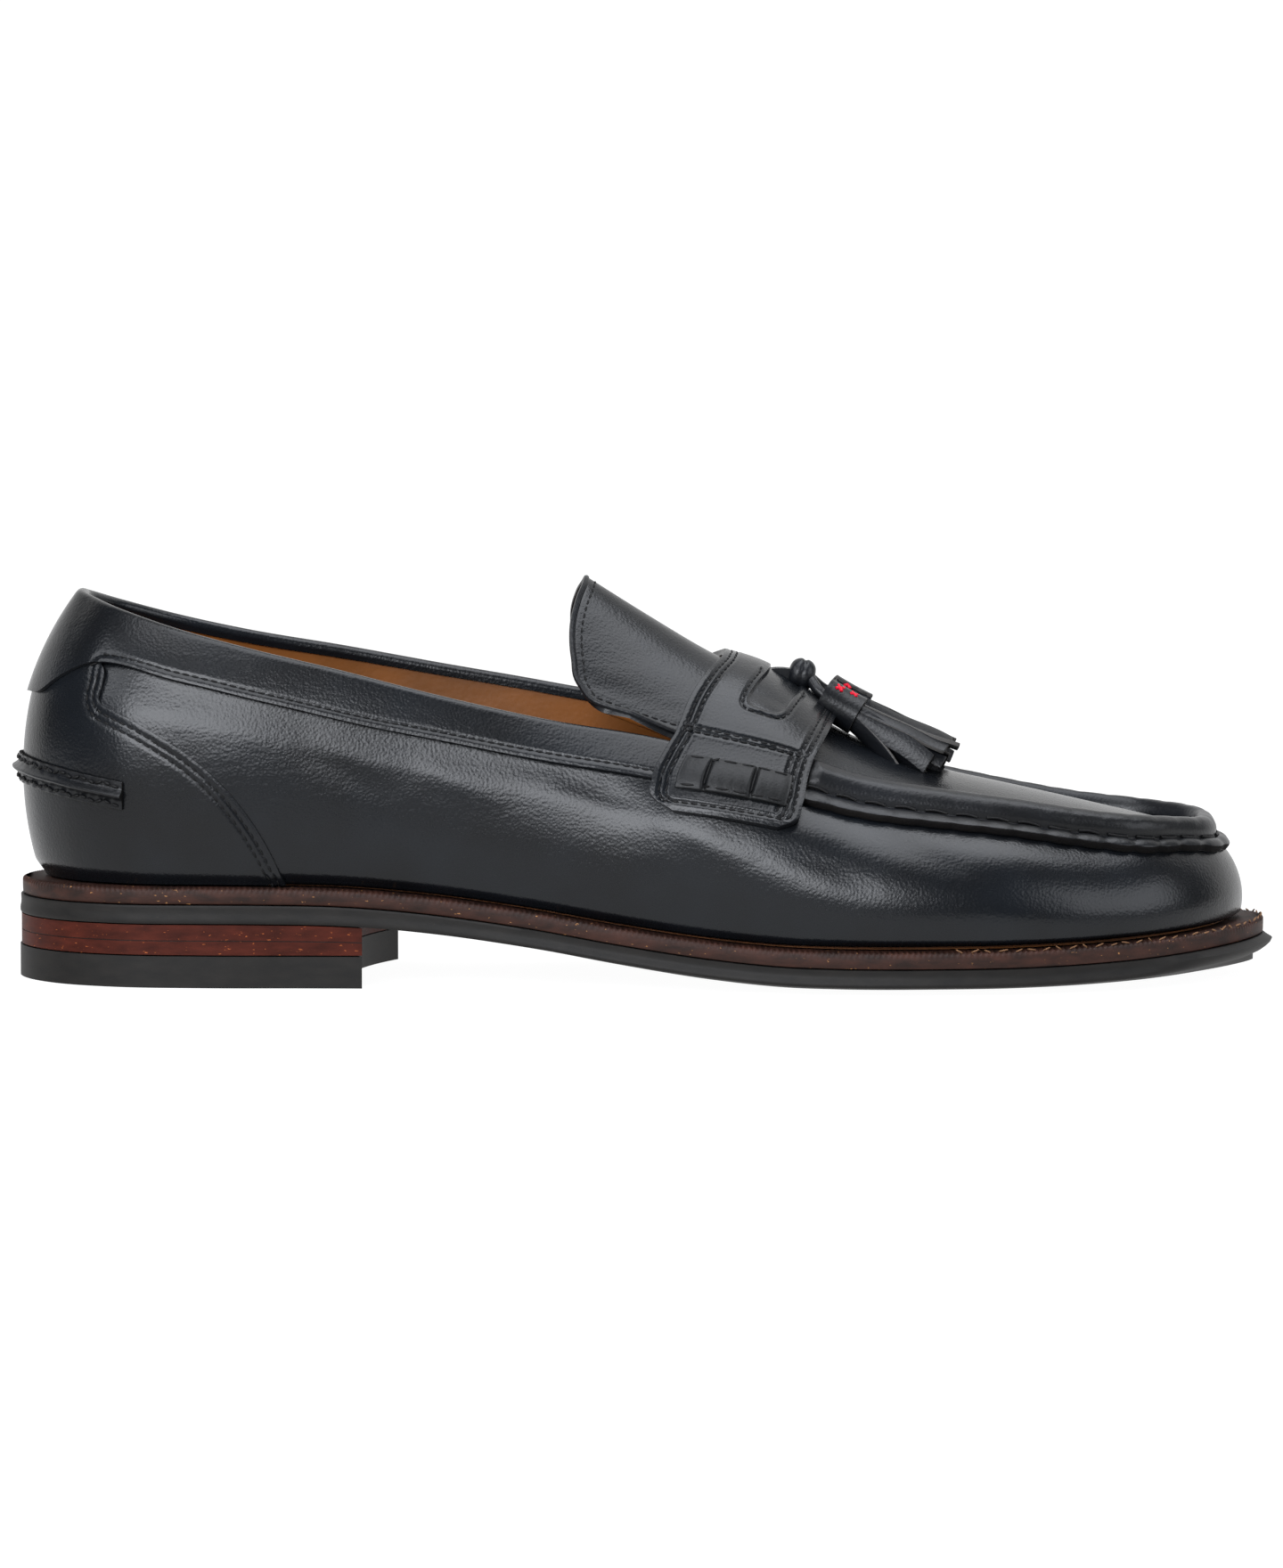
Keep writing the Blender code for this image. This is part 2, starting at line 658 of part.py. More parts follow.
def build_tongue():
    """Tongue behind the throat: an arched sheet that ends in a rounded tip."""
    u = 2.0 * throat_column() / COLUMNS
    left_start, right_start = wall(u, 1.0)[0] - 2 * GAP, wall(2.0 - u, 1.0)[0] - 2 * GAP
    back = Curve([row[0] for row in TONGUE_EDGE], [row[1:] for row in TONGUE_EDGE])

    def side_point(share, medial):
        reach = TONGUE_REACH * back(0.0)[0] * share
        x = (right_start if medial else left_start) - reach
        place = column_at(x, medial)
        rim = wall(place, 1.0)
        inward = 1.0 if medial else -1.0
        inset = TONGUE_INSET * min(1.0, 0.45 + 2.2 * share)
        return np.array([x, rim[1] - inward * inset, rim[2] + TONGUE_RISE * share * share])

    def top(a, b):
        left, right = side_point(a, False), side_point(a, True)
        inward = 1.0 - abs(2 * b - 1)
        x = mix(left_start, right_start, b) - TONGUE_REACH * a * back(inward)[0]
        middle_x = mix(left_start, right_start, 0.5) - TONGUE_REACH * a
        power = mix(1.9, 1.6, a)
        lift = ridge_level(middle_x) - (left[2] + right[2]) / 2
        z = mix(left[2], right[2], b) + lift * (1.0 - (1.0 - inward) ** power)
        return np.array([x, mix(left[1], right[1], b), z])

    def under(a, b):
        step = 0.01
        ahead = top(min(a + step, 1.0), b) - top(max(a - step, 0.0), b)
        side = top(a, min(b + step, 1.0)) - top(a, max(b - step, 0.0))
        normal = unit(np.cross(side, ahead))
        if normal[2] < 0:
            normal = -normal
        return top(a, b) - normal * TONGUE_THICKNESS

    return slab("tongue", 8, 14,
                lambda a, b: under(a, even_out(b)),
                lambda a, b: top(a, even_out(b)), BLACK_LEATHER)


def build_overlay(name, places, rows, low, high, off=GAP, thickness=OVERLAY):
    """Patch on the wall between two edges; places are the columns of the upper that it covers."""

    def point(a, b, out):
        u = 2.0 * places[round(a * (len(places) - 1))] / COLUMNS
        return wall_out(u, mix(low(u), high(u), b), out)

    return slab(name, len(places) - 1, rows,
                lambda a, b: point(a, b, off),
                lambda a, b: point(a, b, off + thickness), BLACK_LEATHER)


def build_heel_trim():
    """Collar band, heel patch, counter and back strip, all on the wall's own surface."""
    patch_at = round(column_at(PATCH_FRONT) * COLUMNS / 2)
    band_end = column_at(BAND_FRONT) * COLUMNS / 2
    counter_at = round(column_at(COUNTER_FRONT) * COLUMNS / 2)

    def to_back(u):
        return min(u % 2.0, 2.0 - u % 2.0)

    def band_low(u):
        x = np.interp(to_back(u), OUTLINE_KNOTS, OUTLINE_ALONG) * SOLE_LENGTH
        return below_rim(u, BAND_WIDTH - 2.6 * MM * min(x / BAND_FRONT, 1.0))

    def patch_low(u):
        share = min(to_back(u) * COLUMNS / 2 / patch_at, 1.0)
        return below_rim(u, mix(PATCH_DROP, BAND_WIDTH + 2 * GAP, share ** PATCH_TURN))

    def rim(u):
        return 1.0

    def counter_high(u):
        share = min(to_back(u) * COLUMNS / 2 / counter_at, 1.0)
        turn = patch_at / counter_at
        if share <= turn:
            return patch_low(u) - COUNTER_GAP
        front = (1.0 - share) / (1.0 - turn)
        top = wall_place(u, seat_level(0.0) + COUNTER_TOP)
        return mix(COUNTER_TIP, top, front ** COUNTER_TURN)

    build_overlay("heel_patch", list(range(-patch_at, patch_at + 1)), 3, patch_low, rim)
    apart = 2 * GAP / (np.linalg.norm(edge(0.01)[0] - edge(0.0)[0]) / 0.01 * 2 / COLUMNS)
    for side, sign in (("lateral", 1), ("medial", -1)):
        places = [patch_at + apart] + list(range(patch_at + 1, math.ceil(band_end))) + [band_end]
        build_overlay("collar_band_" + side, [sign * place for place in places], 2, band_low, rim)
    covered = list(range(-counter_at, counter_at + 1))
    build_overlay("counter", covered, 6, lambda u: COUNTER_FOOT, counter_high, COUNTER_OFF)

    strip_at = round(column_at(STRIP_LENGTH) * COLUMNS / 2)

    def strip_middle(u):
        x = np.interp(to_back(u), OUTLINE_KNOTS, OUTLINE_ALONG) * SOLE_LENGTH
        return seat_level(0.0) + STRIP_HEIGHT - STRIP_SLOPE * x / STRIP_LENGTH

    def strip_point(a, b, out):
        u = 2.0 * mix(-strip_at, strip_at, a) / COLUMNS
        height = strip_middle(u) + STRIP_WIDTH * (b - 0.5)
        bump = PIPING * math.exp(-((b - 0.5) / 0.14) ** 2) if out else 0.0
        base = COUNTER_OFF + OVERLAY + GAP
        return wall_out(u, wall_place(u, height), base + out + bump)

    slab("back_strip", 2 * strip_at, 8,
         lambda a, b: strip_point(a, b, 0.0),
         lambda a, b: strip_point(a, b, OVERLAY * 0.8), BLACK_LEATHER)


def surface_point(u, down, up):
    """Point beside the apron seam: down the wall, or in over the apron where down is negative."""
    if down >= 0:
        t = below_rim(u, down)
        return wall_out(u, t, up)
    rim = wall(u, 1.0)
    along = wall(u + 0.004, 1.0) - wall(u - 0.004, 1.0)
    inward = unit(np.array([-along[1], along[0], 0.0]))
    inside = rim + inward * (-down)
    inside[2] = max(plug_level(inside[0], inside[1]), rim[2])
    normal = unit(wall_normal(u, 0.99) + np.array([0.0, 0.0, 1.5]))
    return inside + normal * up


def build_apron_seam():
    """Raised seam round the apron: a roll on top and a raw lip outside it."""
    start = column_at(SEAM_START)
    section = [(down * SEAM_WIDTH, up * SEAM_HEIGHT) for down, up in SEAM_SECTION]
    bm = bmesh.new()
    rings = []
    for k in range(SEAM_RINGS + 1):
        u = mix(start, 2.0 - start, k / SEAM_RINGS)
        rings.append([bm.verts.new(Vector(surface_point(u, down, up))) for down, up in section])
    size = len(section)
    for near, far in zip(rings, rings[1:]):
        for i in range(size):
            bm.faces.new((near[i], near[(i + 1) % size], far[(i + 1) % size], far[i]))
    bm.faces.new(rings[0])
    bm.faces.new(rings[-1])
    bmesh.ops.recalc_face_normals(bm, faces=bm.faces)
    return place_mesh("apron_seam", bm, BLACK_LEATHER)


def strap_surface():
    """Function of the strap's underside: a over the shoe (0 lateral end, 1 medial end), b forward."""
    places = np.array([row[0] for row in STRAP])
    table = Curve(places, [row[1:] for row in STRAP])

    def point(a, b, off=0.0):
        medial = a > 0.5
        share = 1.0 - abs(2 * a - 1)
        place = mix(places[0], places[-1], share ** 1.3)
        rear, front, rear_off, front_off = table(place)
        x = mix(rear, front, b) * SOLE_LENGTH
        stand = mix(rear_off, front_off, b) * OVERLAY
        stand += OVERLAY * 1.1 * 4 * b * (1 - b) * max(0.0, place - 1.0)
        return body_out(x, place, medial, stand + off)

    return point


def build_strap():
    """Saddle strap over the instep with a shallow window, and the rolls at its two ends."""
    point = strap_surface()
    first_row, last_row, first_column, last_column = WINDOW

    def dip(a, b):
        i, j = a * STRAP_ROWS, b * STRAP_COLUMNS
        inside = first_row < i < last_row and first_column < j < last_column
        return WINDOW_DEPTH if inside else 0.0

    slab("saddle_strap", STRAP_ROWS, STRAP_COLUMNS,
         lambda a, b: point(a, b),
         lambda a, b: point(a, b, STRAP_THICKNESS - dip(a, b)), BLACK_LEATHER)

    def roll_point(a, b, side, raised):
        along = mix(*ROLL_WIDTH, b)
        over = mix(*ROLL_LENGTH, a)
        over = 1.0 - over if side else over
        base = STRAP_THICKNESS + GAP
        lobes = 0.75 + 0.25 * abs(math.sin(3 * math.pi * b))
        bump = ROLL_HEIGHT * math.sin(math.pi * mix(0.08, 0.92, a)) * lobes + ROLL_EDGE
        return point(over, along, base + (bump if raised else 0.0))

    for side, name in ((0, "strap_roll_lateral"), (1, "strap_roll_medial")):
        slab(name, 5, 12,
             lambda a, b, s=side: roll_point(a, b, s, False),
             lambda a, b, s=side: roll_point(a, b, s, True), BLACK_LEATHER)
    return point


def tube(bm, points, radius, sides=8):
    """Closed round bar through a few points."""
    rings = []
    for i, centre in enumerate(points):
        way = unit(points[min(i + 1, len(points) - 1)] - points[max(i - 1, 0)])
        side = unit(np.cross(way, np.array([0.0, 0.0, 1.0])))
        top = np.cross(side, way)
        ring = []
        for k in range(sides):
            angle = 2 * math.pi * k / sides
            out = side * math.cos(angle) + top * math.sin(angle)
            ring.append(bm.verts.new(Vector(centre + radius * out)))
        rings.append(ring)
    for near, far in zip(rings, rings[1:]):
        for k in range(sides):
            bm.faces.new((near[k], near[(k + 1) % sides], far[(k + 1) % sides], far[k]))
    bm.faces.new(rings[0])
    bm.faces.new(rings[-1])


def ribbon(bm, points, sides, thickness, width):
    """Flat strip of leather through a few points; sides gives its width direction."""
    rings = []
    for i, centre in enumerate(points):
        way = unit(points[min(i + 1, len(points) - 1)] - points[max(i - 1, 0)])
        across = unit(sides - way * np.dot(sides, way))
        face = np.cross(way, across)
        corners = ((-1, -1), (1, -1), (1, 1), (-1, 1))
        rings.append([bm.verts.new(Vector(centre + across * width / 2 * p + face * thickness / 2 * q))
                      for p, q in corners])
    for near, far in zip(rings, rings[1:]):
        for k in range(4):
            bm.faces.new((near[k], near[(k + 1) % 4], far[(k + 1) % 4], far[k]))
    bm.faces.new(rings[0])
    bm.faces.new(rings[-1])


def fuse(main, helper_mesh, name):
    """Union of an object with a helper that is left out of the model."""
    bmesh.ops.recalc_face_normals(helper_mesh, faces=helper_mesh.faces)
    helper = place_mesh(name, helper_mesh, BLACK_LEATHER)
    helper.hide_render = True
    helper.display_type = "WIRE"
    union = main.modifiers.new("fused", "BOOLEAN")
    union.operation = "UNION"
    union.solver = "EXACT"
    union.use_self = True
    union.object = helper


def build_tassels(strap_point):
    """Knotted thong on the strap and the two tassels that hang from it over the apron."""

    def strap_top(x):
        rear, front = strap_point(0.5, 0.0)[0], strap_point(0.5, 1.0)[0]
        return strap_point(0.5, (x - rear) / (front - rear), STRAP_THICKNESS)[2]

    knot = np.array([KNOT_AT, 0.0, strap_top(KNOT_AT) + GAP + KNOT_RADIUS * 1.15])
    bm = bmesh.new()
    bmesh.ops.create_uvsphere(bm, u_segments=12, v_segments=8, radius=KNOT_RADIUS)
    for vert in bm.verts:
        vert.co = Vector((vert.co.x * 0.9, vert.co.y * 1.05, vert.co.z * 1.05)) + Vector(knot)
    body_of_knot = place_mesh("thong_knot", bm, BLACK_LEATHER)
    loop = bmesh.new()
    path = []
    for back, aside, rise in LOOP:
        x = knot[0] - back * KNOT_RADIUS
        level = strap_top(x) + 2 * GAP + LOOP_RADIUS + rise * KNOT_RADIUS
        path.append(np.array([x, aside * KNOT_RADIUS, level]))
    path[-1] = mix(path[-1], knot, 0.8)
    tube(loop, path, LOOP_RADIUS)
    fuse(body_of_knot, loop, "thong_loop_guide")

    for side, name in ((-1, "tassel_lateral"), (1, "tassel_medial")):
        aim = unit(np.array([1.0, side * TASSEL_TURN, -TASSEL_FALL]))
        start = knot + np.array([KNOT_RADIUS * 0.9 + 1.5 * GAP, side * THONG_RADIUS * 1.2, -2 * GAP])
        head = knot + np.array([TASSEL_AHEAD, side * TASSEL_SPREAD, -TASSEL_DROP])
        if side > 0:
            head += np.array([MEDIAL_AHEAD, 0.0, MEDIAL_RISE])
        head_end = head + aim * HEAD_LENGTH
        across = unit(np.cross(aim, np.array([0.0, 0.0, 1.0])))
        top = np.cross(across, aim)
        sleeve = bmesh.new()
        tube(sleeve, [head, mix(head, head_end, 0.5), head_end], HEAD_RADIUS, 12)
        bmesh.ops.recalc_face_normals(sleeve, faces=sleeve.faces)
        sleeve_object = place_mesh(name, sleeve, BLACK_LEATHER)
        strips = bmesh.new()
        tube(strips, [start, mix(start, head, 0.6), head + aim * 2 * MM], THONG_RADIUS)
        for out, up, tip_out, tip_up, length, width in STRIPS:
            points = []
            for k in range(5):
                share = k / 4
                reach = FRINGE_LENGTH * length * share - HEAD_LENGTH * 0.25
                aside = mix(out, tip_out, share ** 1.6) * HEAD_RADIUS * -side
                rise = mix(up, tip_up, share ** 1.6) * HEAD_RADIUS
                points.append(head_end + aim * reach + across * aside + top * rise)
            flat = unit(across * abs(up) + top * side * out * math.copysign(1.0, up))
            ribbon(strips, points, flat, STRIP_LEATHER, width * HEAD_RADIUS)
        fuse(sleeve_object, strips, name + "_strips_guide")


def centre_shoe():
    """Move the shoe so that the origin lies under the middle of its box."""
    bpy.context.view_layer.update()
    low, high = np.full(3, np.inf), np.full(3, -np.inf)
    graph = bpy.context.evaluated_depsgraph_get()
    for obj in bpy.data.objects:
        if obj.hide_render:
            continue
        mesh = obj.evaluated_get(graph).to_mesh()
        points = np.array([vert.co for vert in mesh.vertices])
        low, high = np.minimum(low, points.min(0)), np.maximum(high, points.max(0))
    shift = Vector((-(low[0] + high[0]) / 2, -(low[1] + high[1]) / 2, 0.0))
    for obj in bpy.data.objects:
        for vert in obj.data.vertices:
            vert.co += shift


def main():
    for obj in list(bpy.data.objects):
        bpy.data.objects.remove(obj, do_unlink=True)
    build_sole()
    build_upper()
    build_tongue()
    build_heel_trim()
    build_apron_seam()
    strap_point = build_strap()
    build_tassels(strap_point)
    centre_shoe()


main()
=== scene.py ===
"""Looks of a men's tassel loafer, right shoe: leather, stitches, sole edges and tassels.

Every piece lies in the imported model's frame: x toward the toe, y toward the medial side, z up
from the floor. The shoe's surfaces are worked out in the last's frame, whose x starts at the back
of the sole, and then moved by ORIGIN.
"""
import itertools
import json
import logging
import math
from collections.abc import Callable, Sequence
from dataclasses import dataclass, field
from enum import Enum

import bmesh
import bpy
import numpy as np
from mathutils import Matrix, Vector
from mathutils.bvhtree import BVHTree
from mathutils.kdtree import KDTree

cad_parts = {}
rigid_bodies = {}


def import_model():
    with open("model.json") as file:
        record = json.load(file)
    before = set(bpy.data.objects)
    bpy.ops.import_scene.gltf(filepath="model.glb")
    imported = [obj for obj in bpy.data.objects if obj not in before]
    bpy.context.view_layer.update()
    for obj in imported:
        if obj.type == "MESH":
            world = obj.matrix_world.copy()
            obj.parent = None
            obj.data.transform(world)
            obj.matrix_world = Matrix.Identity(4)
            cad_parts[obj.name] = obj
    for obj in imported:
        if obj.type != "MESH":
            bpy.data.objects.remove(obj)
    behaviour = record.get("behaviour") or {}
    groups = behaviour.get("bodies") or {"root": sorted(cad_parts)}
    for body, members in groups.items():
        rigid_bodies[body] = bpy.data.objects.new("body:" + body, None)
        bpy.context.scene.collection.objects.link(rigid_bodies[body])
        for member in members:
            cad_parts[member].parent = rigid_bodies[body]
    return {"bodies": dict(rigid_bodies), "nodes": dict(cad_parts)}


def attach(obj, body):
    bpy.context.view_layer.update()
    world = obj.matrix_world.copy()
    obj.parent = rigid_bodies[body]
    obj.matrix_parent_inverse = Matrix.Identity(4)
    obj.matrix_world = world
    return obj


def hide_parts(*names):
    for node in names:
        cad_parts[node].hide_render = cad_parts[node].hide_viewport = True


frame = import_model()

MM = 0.001
ORIGIN = np.array([-0.14875, 0.00389, 0.0])
LOG = logging.getLogger("loafer")
WELD = 0.005 * MM
THREAD_ANGLE = 80.0

Array = np.ndarray
Surface = Callable[[Array, Array], Array]


class Side(Enum):
    """Side of the shoe, with the sign of its outward y."""

    LATERAL = -1
    MEDIAL = 1


def unit(vectors: Array) -> Array:
    """Rows of vectors, each made one long."""
    return vectors / np.maximum(np.linalg.norm(vectors, axis=-1, keepdims=True), 1e-12)


def mix(a: Array | float, b: Array | float, share: Array | float) -> Array | float:
    """Value at a share of the way from a to b."""
    return a + (b - a) * share


def ease(share: Array | float) -> Array | float:
    """Share from 0 to 1 that starts and ends gently."""
    share = np.clip(share, 0.0, 1.0)
    return share * share * (3.0 - 2.0 * share)


def run_of(points: Array) -> Array:
    """Distance run along a polyline up to each of its points."""
    return np.concatenate([[0.0], np.cumsum(np.linalg.norm(np.diff(points, axis=0), axis=1))])


class Table:
    """Smooth curve through a table's rows, one row at each knot."""

    def __init__(self, knots: Sequence[float], rows: Sequence, period: float = 0.0) -> None:
        """Keep the knots and work out the slopes at them.

        Args:
            knots: where each row holds, in rising order.
            rows: the values, one row for each knot.
            period: length after which the curve comes round again, or 0.
        """
        where = np.array(knots, float)
        values = np.array(rows, float).reshape(len(where), -1)
        self.period = period
        if period:
            where = np.concatenate([where[-2:] - period, where, where[:2] + period])
            values = np.concatenate([values[-2:], values, values[:2]])
        steps = np.diff(where)[:, None]
        rates = np.diff(values, axis=0) / steps
        slopes = np.empty_like(values)
        slopes[0], slopes[-1] = rates[0], rates[-1]
        slopes[1:-1] = (rates[:-1] * steps[1:] + rates[1:] * steps[:-1]) / (steps[1:] + steps[:-1])
        self.knots, self.rows, self.slopes = where, values, slopes

    def at(self, where: Array | float) -> Array:
        """Rows of the curve at these places."""
        where = np.atleast_1d(np.asarray(where, float))
        if self.period:
            where = where % self.period
        i = np.clip(np.searchsorted(self.knots, where) - 1, 0, len(self.knots) - 2)
        step = (self.knots[i + 1] - self.knots[i])[:, None]
        s = np.clip((where - self.knots[i])[:, None] / step, 0.0, 1.0)
        start, end = self.rows[i], self.rows[i + 1]
        out, back = self.slopes[i] * step, self.slopes[i + 1] * step
        return (start * (1 + 2 * s) * (1 - s) ** 2 + out * s * (1 - s) ** 2
                + end * s * s * (3 - 2 * s) + back * s * s * (s - 1))


@dataclass
class Last:
    """The form inside the shoe, with the surfaces of the upper and the levels of the sole."""

    sole_length: float = 299.5 * MM
    ball_width: float = 105.0 * MM
    quarter_height: float = 70.0 * MM
    instep_height: float = 40.0 * MM
    ridge_height: float = 62.0 * MM
    heel_rise: float = 13.2 * MM
    toe_spring: float = 3.7 * MM
    welt_width: float = 6.0 * MM
    outsole_thickness: float = 4.3 * MM
    outsole_crown: float = 2.0 * MM
    midsole_thickness: float = 4.2 * MM
    gap: float = 0.3 * MM

    # along in sole lengths, the two sides in ball widths
    outline: tuple = (
        (0.0000, 0.000, 0.000), (0.0100, -0.124, 0.119), (0.0370, -0.229, 0.214),
        (0.0800, -0.300, 0.281), (0.1500, -0.331, 0.310), (0.2340, -0.335, 0.314),
        (0.3170, -0.343, 0.295), (0.4010, -0.370, 0.286), (0.4840, -0.414, 0.314),
        (0.5680, -0.471, 0.367), (0.6510, -0.517, 0.424), (0.7280, -0.529, 0.452),
        (0.7950, -0.508, 0.452), (0.8550, -0.455, 0.420), (0.9080, -0.380, 0.371),
        (0.9520, -0.276, 0.288), (0.9833, -0.152, 0.190), (1.0000, 0.020, 0.020))
    # along, share of the heel rise, share of the toe spring
    level: tuple = (
        (0.00, 1.00, 0.00), (0.10, 1.00, 0.00), (0.20, 1.00, 0.00), (0.26, 0.97, 0.00),
        (0.33, 0.84, 0.00), (0.41, 0.60, 0.00), (0.48, 0.34, 0.00), (0.55, 0.13, 0.00),
        (0.61, 0.02, 0.00), (0.65, 0.00, 0.00), (0.73, 0.00, 0.01), (0.79, 0.00, 0.05),
        (0.85, 0.00, 0.18), (0.91, 0.00, 0.43), (0.96, 0.00, 0.72), (1.00, 0.00, 1.00))
    # foot, inset, belly, shoulder, crest, along, across, height
    lateral_quarter: tuple = (
        (0.030, 0.98, 0.068, 0.050, 0.70, 0.0585, -0.080, 0.976),
        (0.062, 0.85, 0.062, 0.044, 0.70, 0.0800, -0.158, 0.944),
        (0.105, 0.70, 0.052, 0.034, 0.70, 0.1250, -0.230, 0.884),
        (0.167, 0.60, 0.045, 0.026, 0.70, 0.1840, -0.268, 0.817),
        (0.250, 0.50, 0.043, 0.020, 0.70, 0.2580, -0.288, 0.747),
        (0.334, 0.48, 0.042, 0.016, 0.70, 0.3370, -0.298, 0.690),
        (0.417, 0.48, 0.043, 0.008, 0.72, 0.4210, -0.304, 0.660),
        (0.501, 0.50, 0.046, -0.006, 0.74, 0.5060, -0.312, 0.658))
    medial_quarter: tuple = (
        (0.030, 0.98, 0.068, 0.050, 0.70, 0.0585, 0.080, 0.973),
        (0.062, 0.85, 0.060, 0.044, 0.70, 0.0790, 0.154, 0.938),
        (0.105, 0.70, 0.050, 0.036, 0.70, 0.1210, 0.224, 0.882),
        (0.167, 0.60, 0.042, 0.030, 0.70, 0.1790, 0.264, 0.822),
        (0.250, 0.50, 0.036, 0.028, 0.70, 0.2570, 0.288, 0.767),
        (0.334, 0.48, 0.030, 0.030, 0.70, 0.3370, 0.295, 0.731),
        (0.417, 0.48, 0.032, 0.030, 0.72, 0.4210, 0.296, 0.716),
        (0.501, 0.50, 0.038, 0.016, 0.74, 0.5060, 0.296, 0.702))
    lateral_vamp: tuple = (
        (0.584, 0.52, 0.056, -0.034, 0.77, 0.5880, -0.314, 1.060),
        (0.658, 0.55, 0.064, -0.066, 0.77, 0.6640, -0.306, 0.893),
        (0.735, 0.56, 0.066, -0.076, 0.77, 0.7340, -0.304, 0.805),
        (0.800, 0.56, 0.062, -0.066, 0.77, 0.7900, -0.300, 0.740),
        (0.856, 0.60, 0.054, -0.048, 0.78, 0.8380, -0.280, 0.665),
        (0.905, 0.68, 0.044, -0.030, 0.80, 0.8880, -0.240, 0.598),
        (0.946, 0.84, 0.034, -0.018, 0.84, 0.9235, -0.150, 0.545))
    medial_vamp: tuple = (
        (0.584, 0.52, 0.050, -0.022, 0.77, 0.5880, 0.292, 1.080),
        (0.658, 0.55, 0.058, -0.050, 0.77, 0.6640, 0.284, 0.900),
        (0.735, 0.56, 0.060, -0.060, 0.77, 0.7340, 0.279, 0.798),
        (0.800, 0.56, 0.057, -0.052, 0.77, 0.7950, 0.272, 0.705),
        (0.856, 0.60, 0.050, -0.036, 0.78, 0.8460, 0.258, 0.628),
        (0.905, 0.68, 0.042, -0.024, 0.80, 0.8940, 0.236, 0.572),
        (0.946, 0.84, 0.034, -0.016, 0.84, 0.9265, 0.162, 0.534))
    heel_section: tuple = (0.000, 1.03, 0.070, 0.050, 0.70, 0.0518, 0.000, 0.990)
    toe_section: tuple = (1.000, 1.28, 0.027, -0.010, 0.88, 0.9440, 0.014, 0.495)
    # along, height above the ball of the sole in ridge heights
    ridge: tuple = (
        (0.4548, 1.362), (0.5010, 1.222), (0.5520, 1.076), (0.5937, 0.979), (0.6277, 0.866),
        (0.6494, 0.793), (0.6698, 0.743), (0.7045, 0.674), (0.7426, 0.618), (0.7780, 0.581),
        (0.8147, 0.542), (0.8681, 0.482), (0.9082, 0.435), (0.9500, 0.371))

    def __post_init__(self) -> None:
        """Make the curves that the surfaces are read from."""
        rows = np.array(self.outline)
        side = np.stack([rows[:, 0] * self.sole_length,
                         (rows[:, 2] - rows[:, 1]) * self.ball_width / 2], 1)
        run = run_of(side)
        self.outline_knots = run / run[-1]
        self.outline_along = rows[:, 0]
        points = [(r[0] * self.sole_length, r[1] * self.ball_width) for r in rows]
        points += [(r[0] * self.sole_length, r[2] * self.ball_width) for r in rows[-2:0:-1]]
        ring = np.concatenate([self.outline_knots, 2.0 - self.outline_knots[-2:0:-1]])
        self.outline_curve = Table(ring, points, period=2.0)
        self.level_curve = Table([r[0] for r in self.level], [r[1:] for r in self.level])
        self.ridge_curve = Table([r[0] for r in self.ridge], [r[1:] for r in self.ridge])
        self.sections = self._sections()
        places = np.linspace(float(self.place_of(0.636)) - 0.05, 1.0, 120)
        self.apron_places = places
        self.apron_reach = (self.wall(places, 1.0)[:, 0] + self.wall(2.0 - places, 1.0)[:, 0]) / 2

    def _sections(self) -> Table:
        """Sections of the wall round the shoe."""
        places, rows = [], []
        groups = (((self.heel_section,), False, self.quarter_height),
                  (self.lateral_quarter, False, self.quarter_height),
                  (self.lateral_vamp, False, self.instep_height),
                  ((self.toe_section,), False, self.instep_height),
                  (self.medial_vamp[::-1], True, self.instep_height),
                  (self.medial_quarter[::-1], True, self.quarter_height))
        for table, medial, height in groups:
            for foot, inset, belly, shoulder, crest, along, across, rise in table:
                u = float(self.place_of(foot))
                places.append(2.0 - u if medial else u)
                seat = float(self.seat_level(foot * self.sole_length)[0])
                rows.append((inset * self.welt_width, belly * self.ball_width,
                             shoulder * self.ball_width, crest, along * self.sole_length,
                             across * self.ball_width, seat + rise * height))
        return Table(places, rows, period=2.0)

    def place_of(self, along: Array | float) -> Array | float:
        """Place round the outline, on the lateral side, of a share of the sole's length."""
        return np.interp(along, self.outline_along, self.outline_knots)

    def column_at(self, x: Array | float) -> Array | float:
        """Place round the outline of a distance from the back of the sole."""
        return self.place_of(np.asarray(x) / self.sole_length)

    def x_of(self, u: Array) -> Array:
        """Distance of a place round the outline from the back of the sole."""
        return np.interp(self.to_back(u), self.outline_knots, self.outline_along) * self.sole_length

    def to_back(self, u: Array) -> Array:
        """Distance of a place from the back of the heel, either way round."""
        u = np.asarray(u) % 2.0
        return np.minimum(u, 2.0 - u)

    def edge(self, u: Array, inset: Array | float = 0.0) -> tuple[Array, Array]:
        """Points on the sole's outline, moved in by inset, and the outward directions there."""
        u = np.atleast_1d(np.asarray(u, float))
        tangent = self.outline_curve.at(u + 0.002) - self.outline_curve.at(u - 0.002)
        outward = unit(np.stack([-tangent[:, 1], tangent[:, 0]], 1))
        point = self.outline_curve.at(u)
        facing = np.sum(outward * (point - [self.sole_length / 2, 0.0]), axis=1)
        outward = np.where(facing[:, None] < 0, -outward, outward)
        return point - outward * np.reshape(inset * np.ones(len(u)), (-1, 1)), outward

    def sole_level(self, x: Array) -> Array:
        """Height of the joint between outsole and midsole."""
        levels = self.level_curve.at(np.atleast_1d(x) / self.sole_length)
        return (self.outsole_thickness + self.outsole_crown
                + self.heel_rise * levels[:, 0] + self.toe_spring * levels[:, 1])

    def seat_level(self, x: Array) -> Array:
        """Height of the midsole's top, on which the upper stands."""
        return self.sole_level(x) + self.midsole_thickness

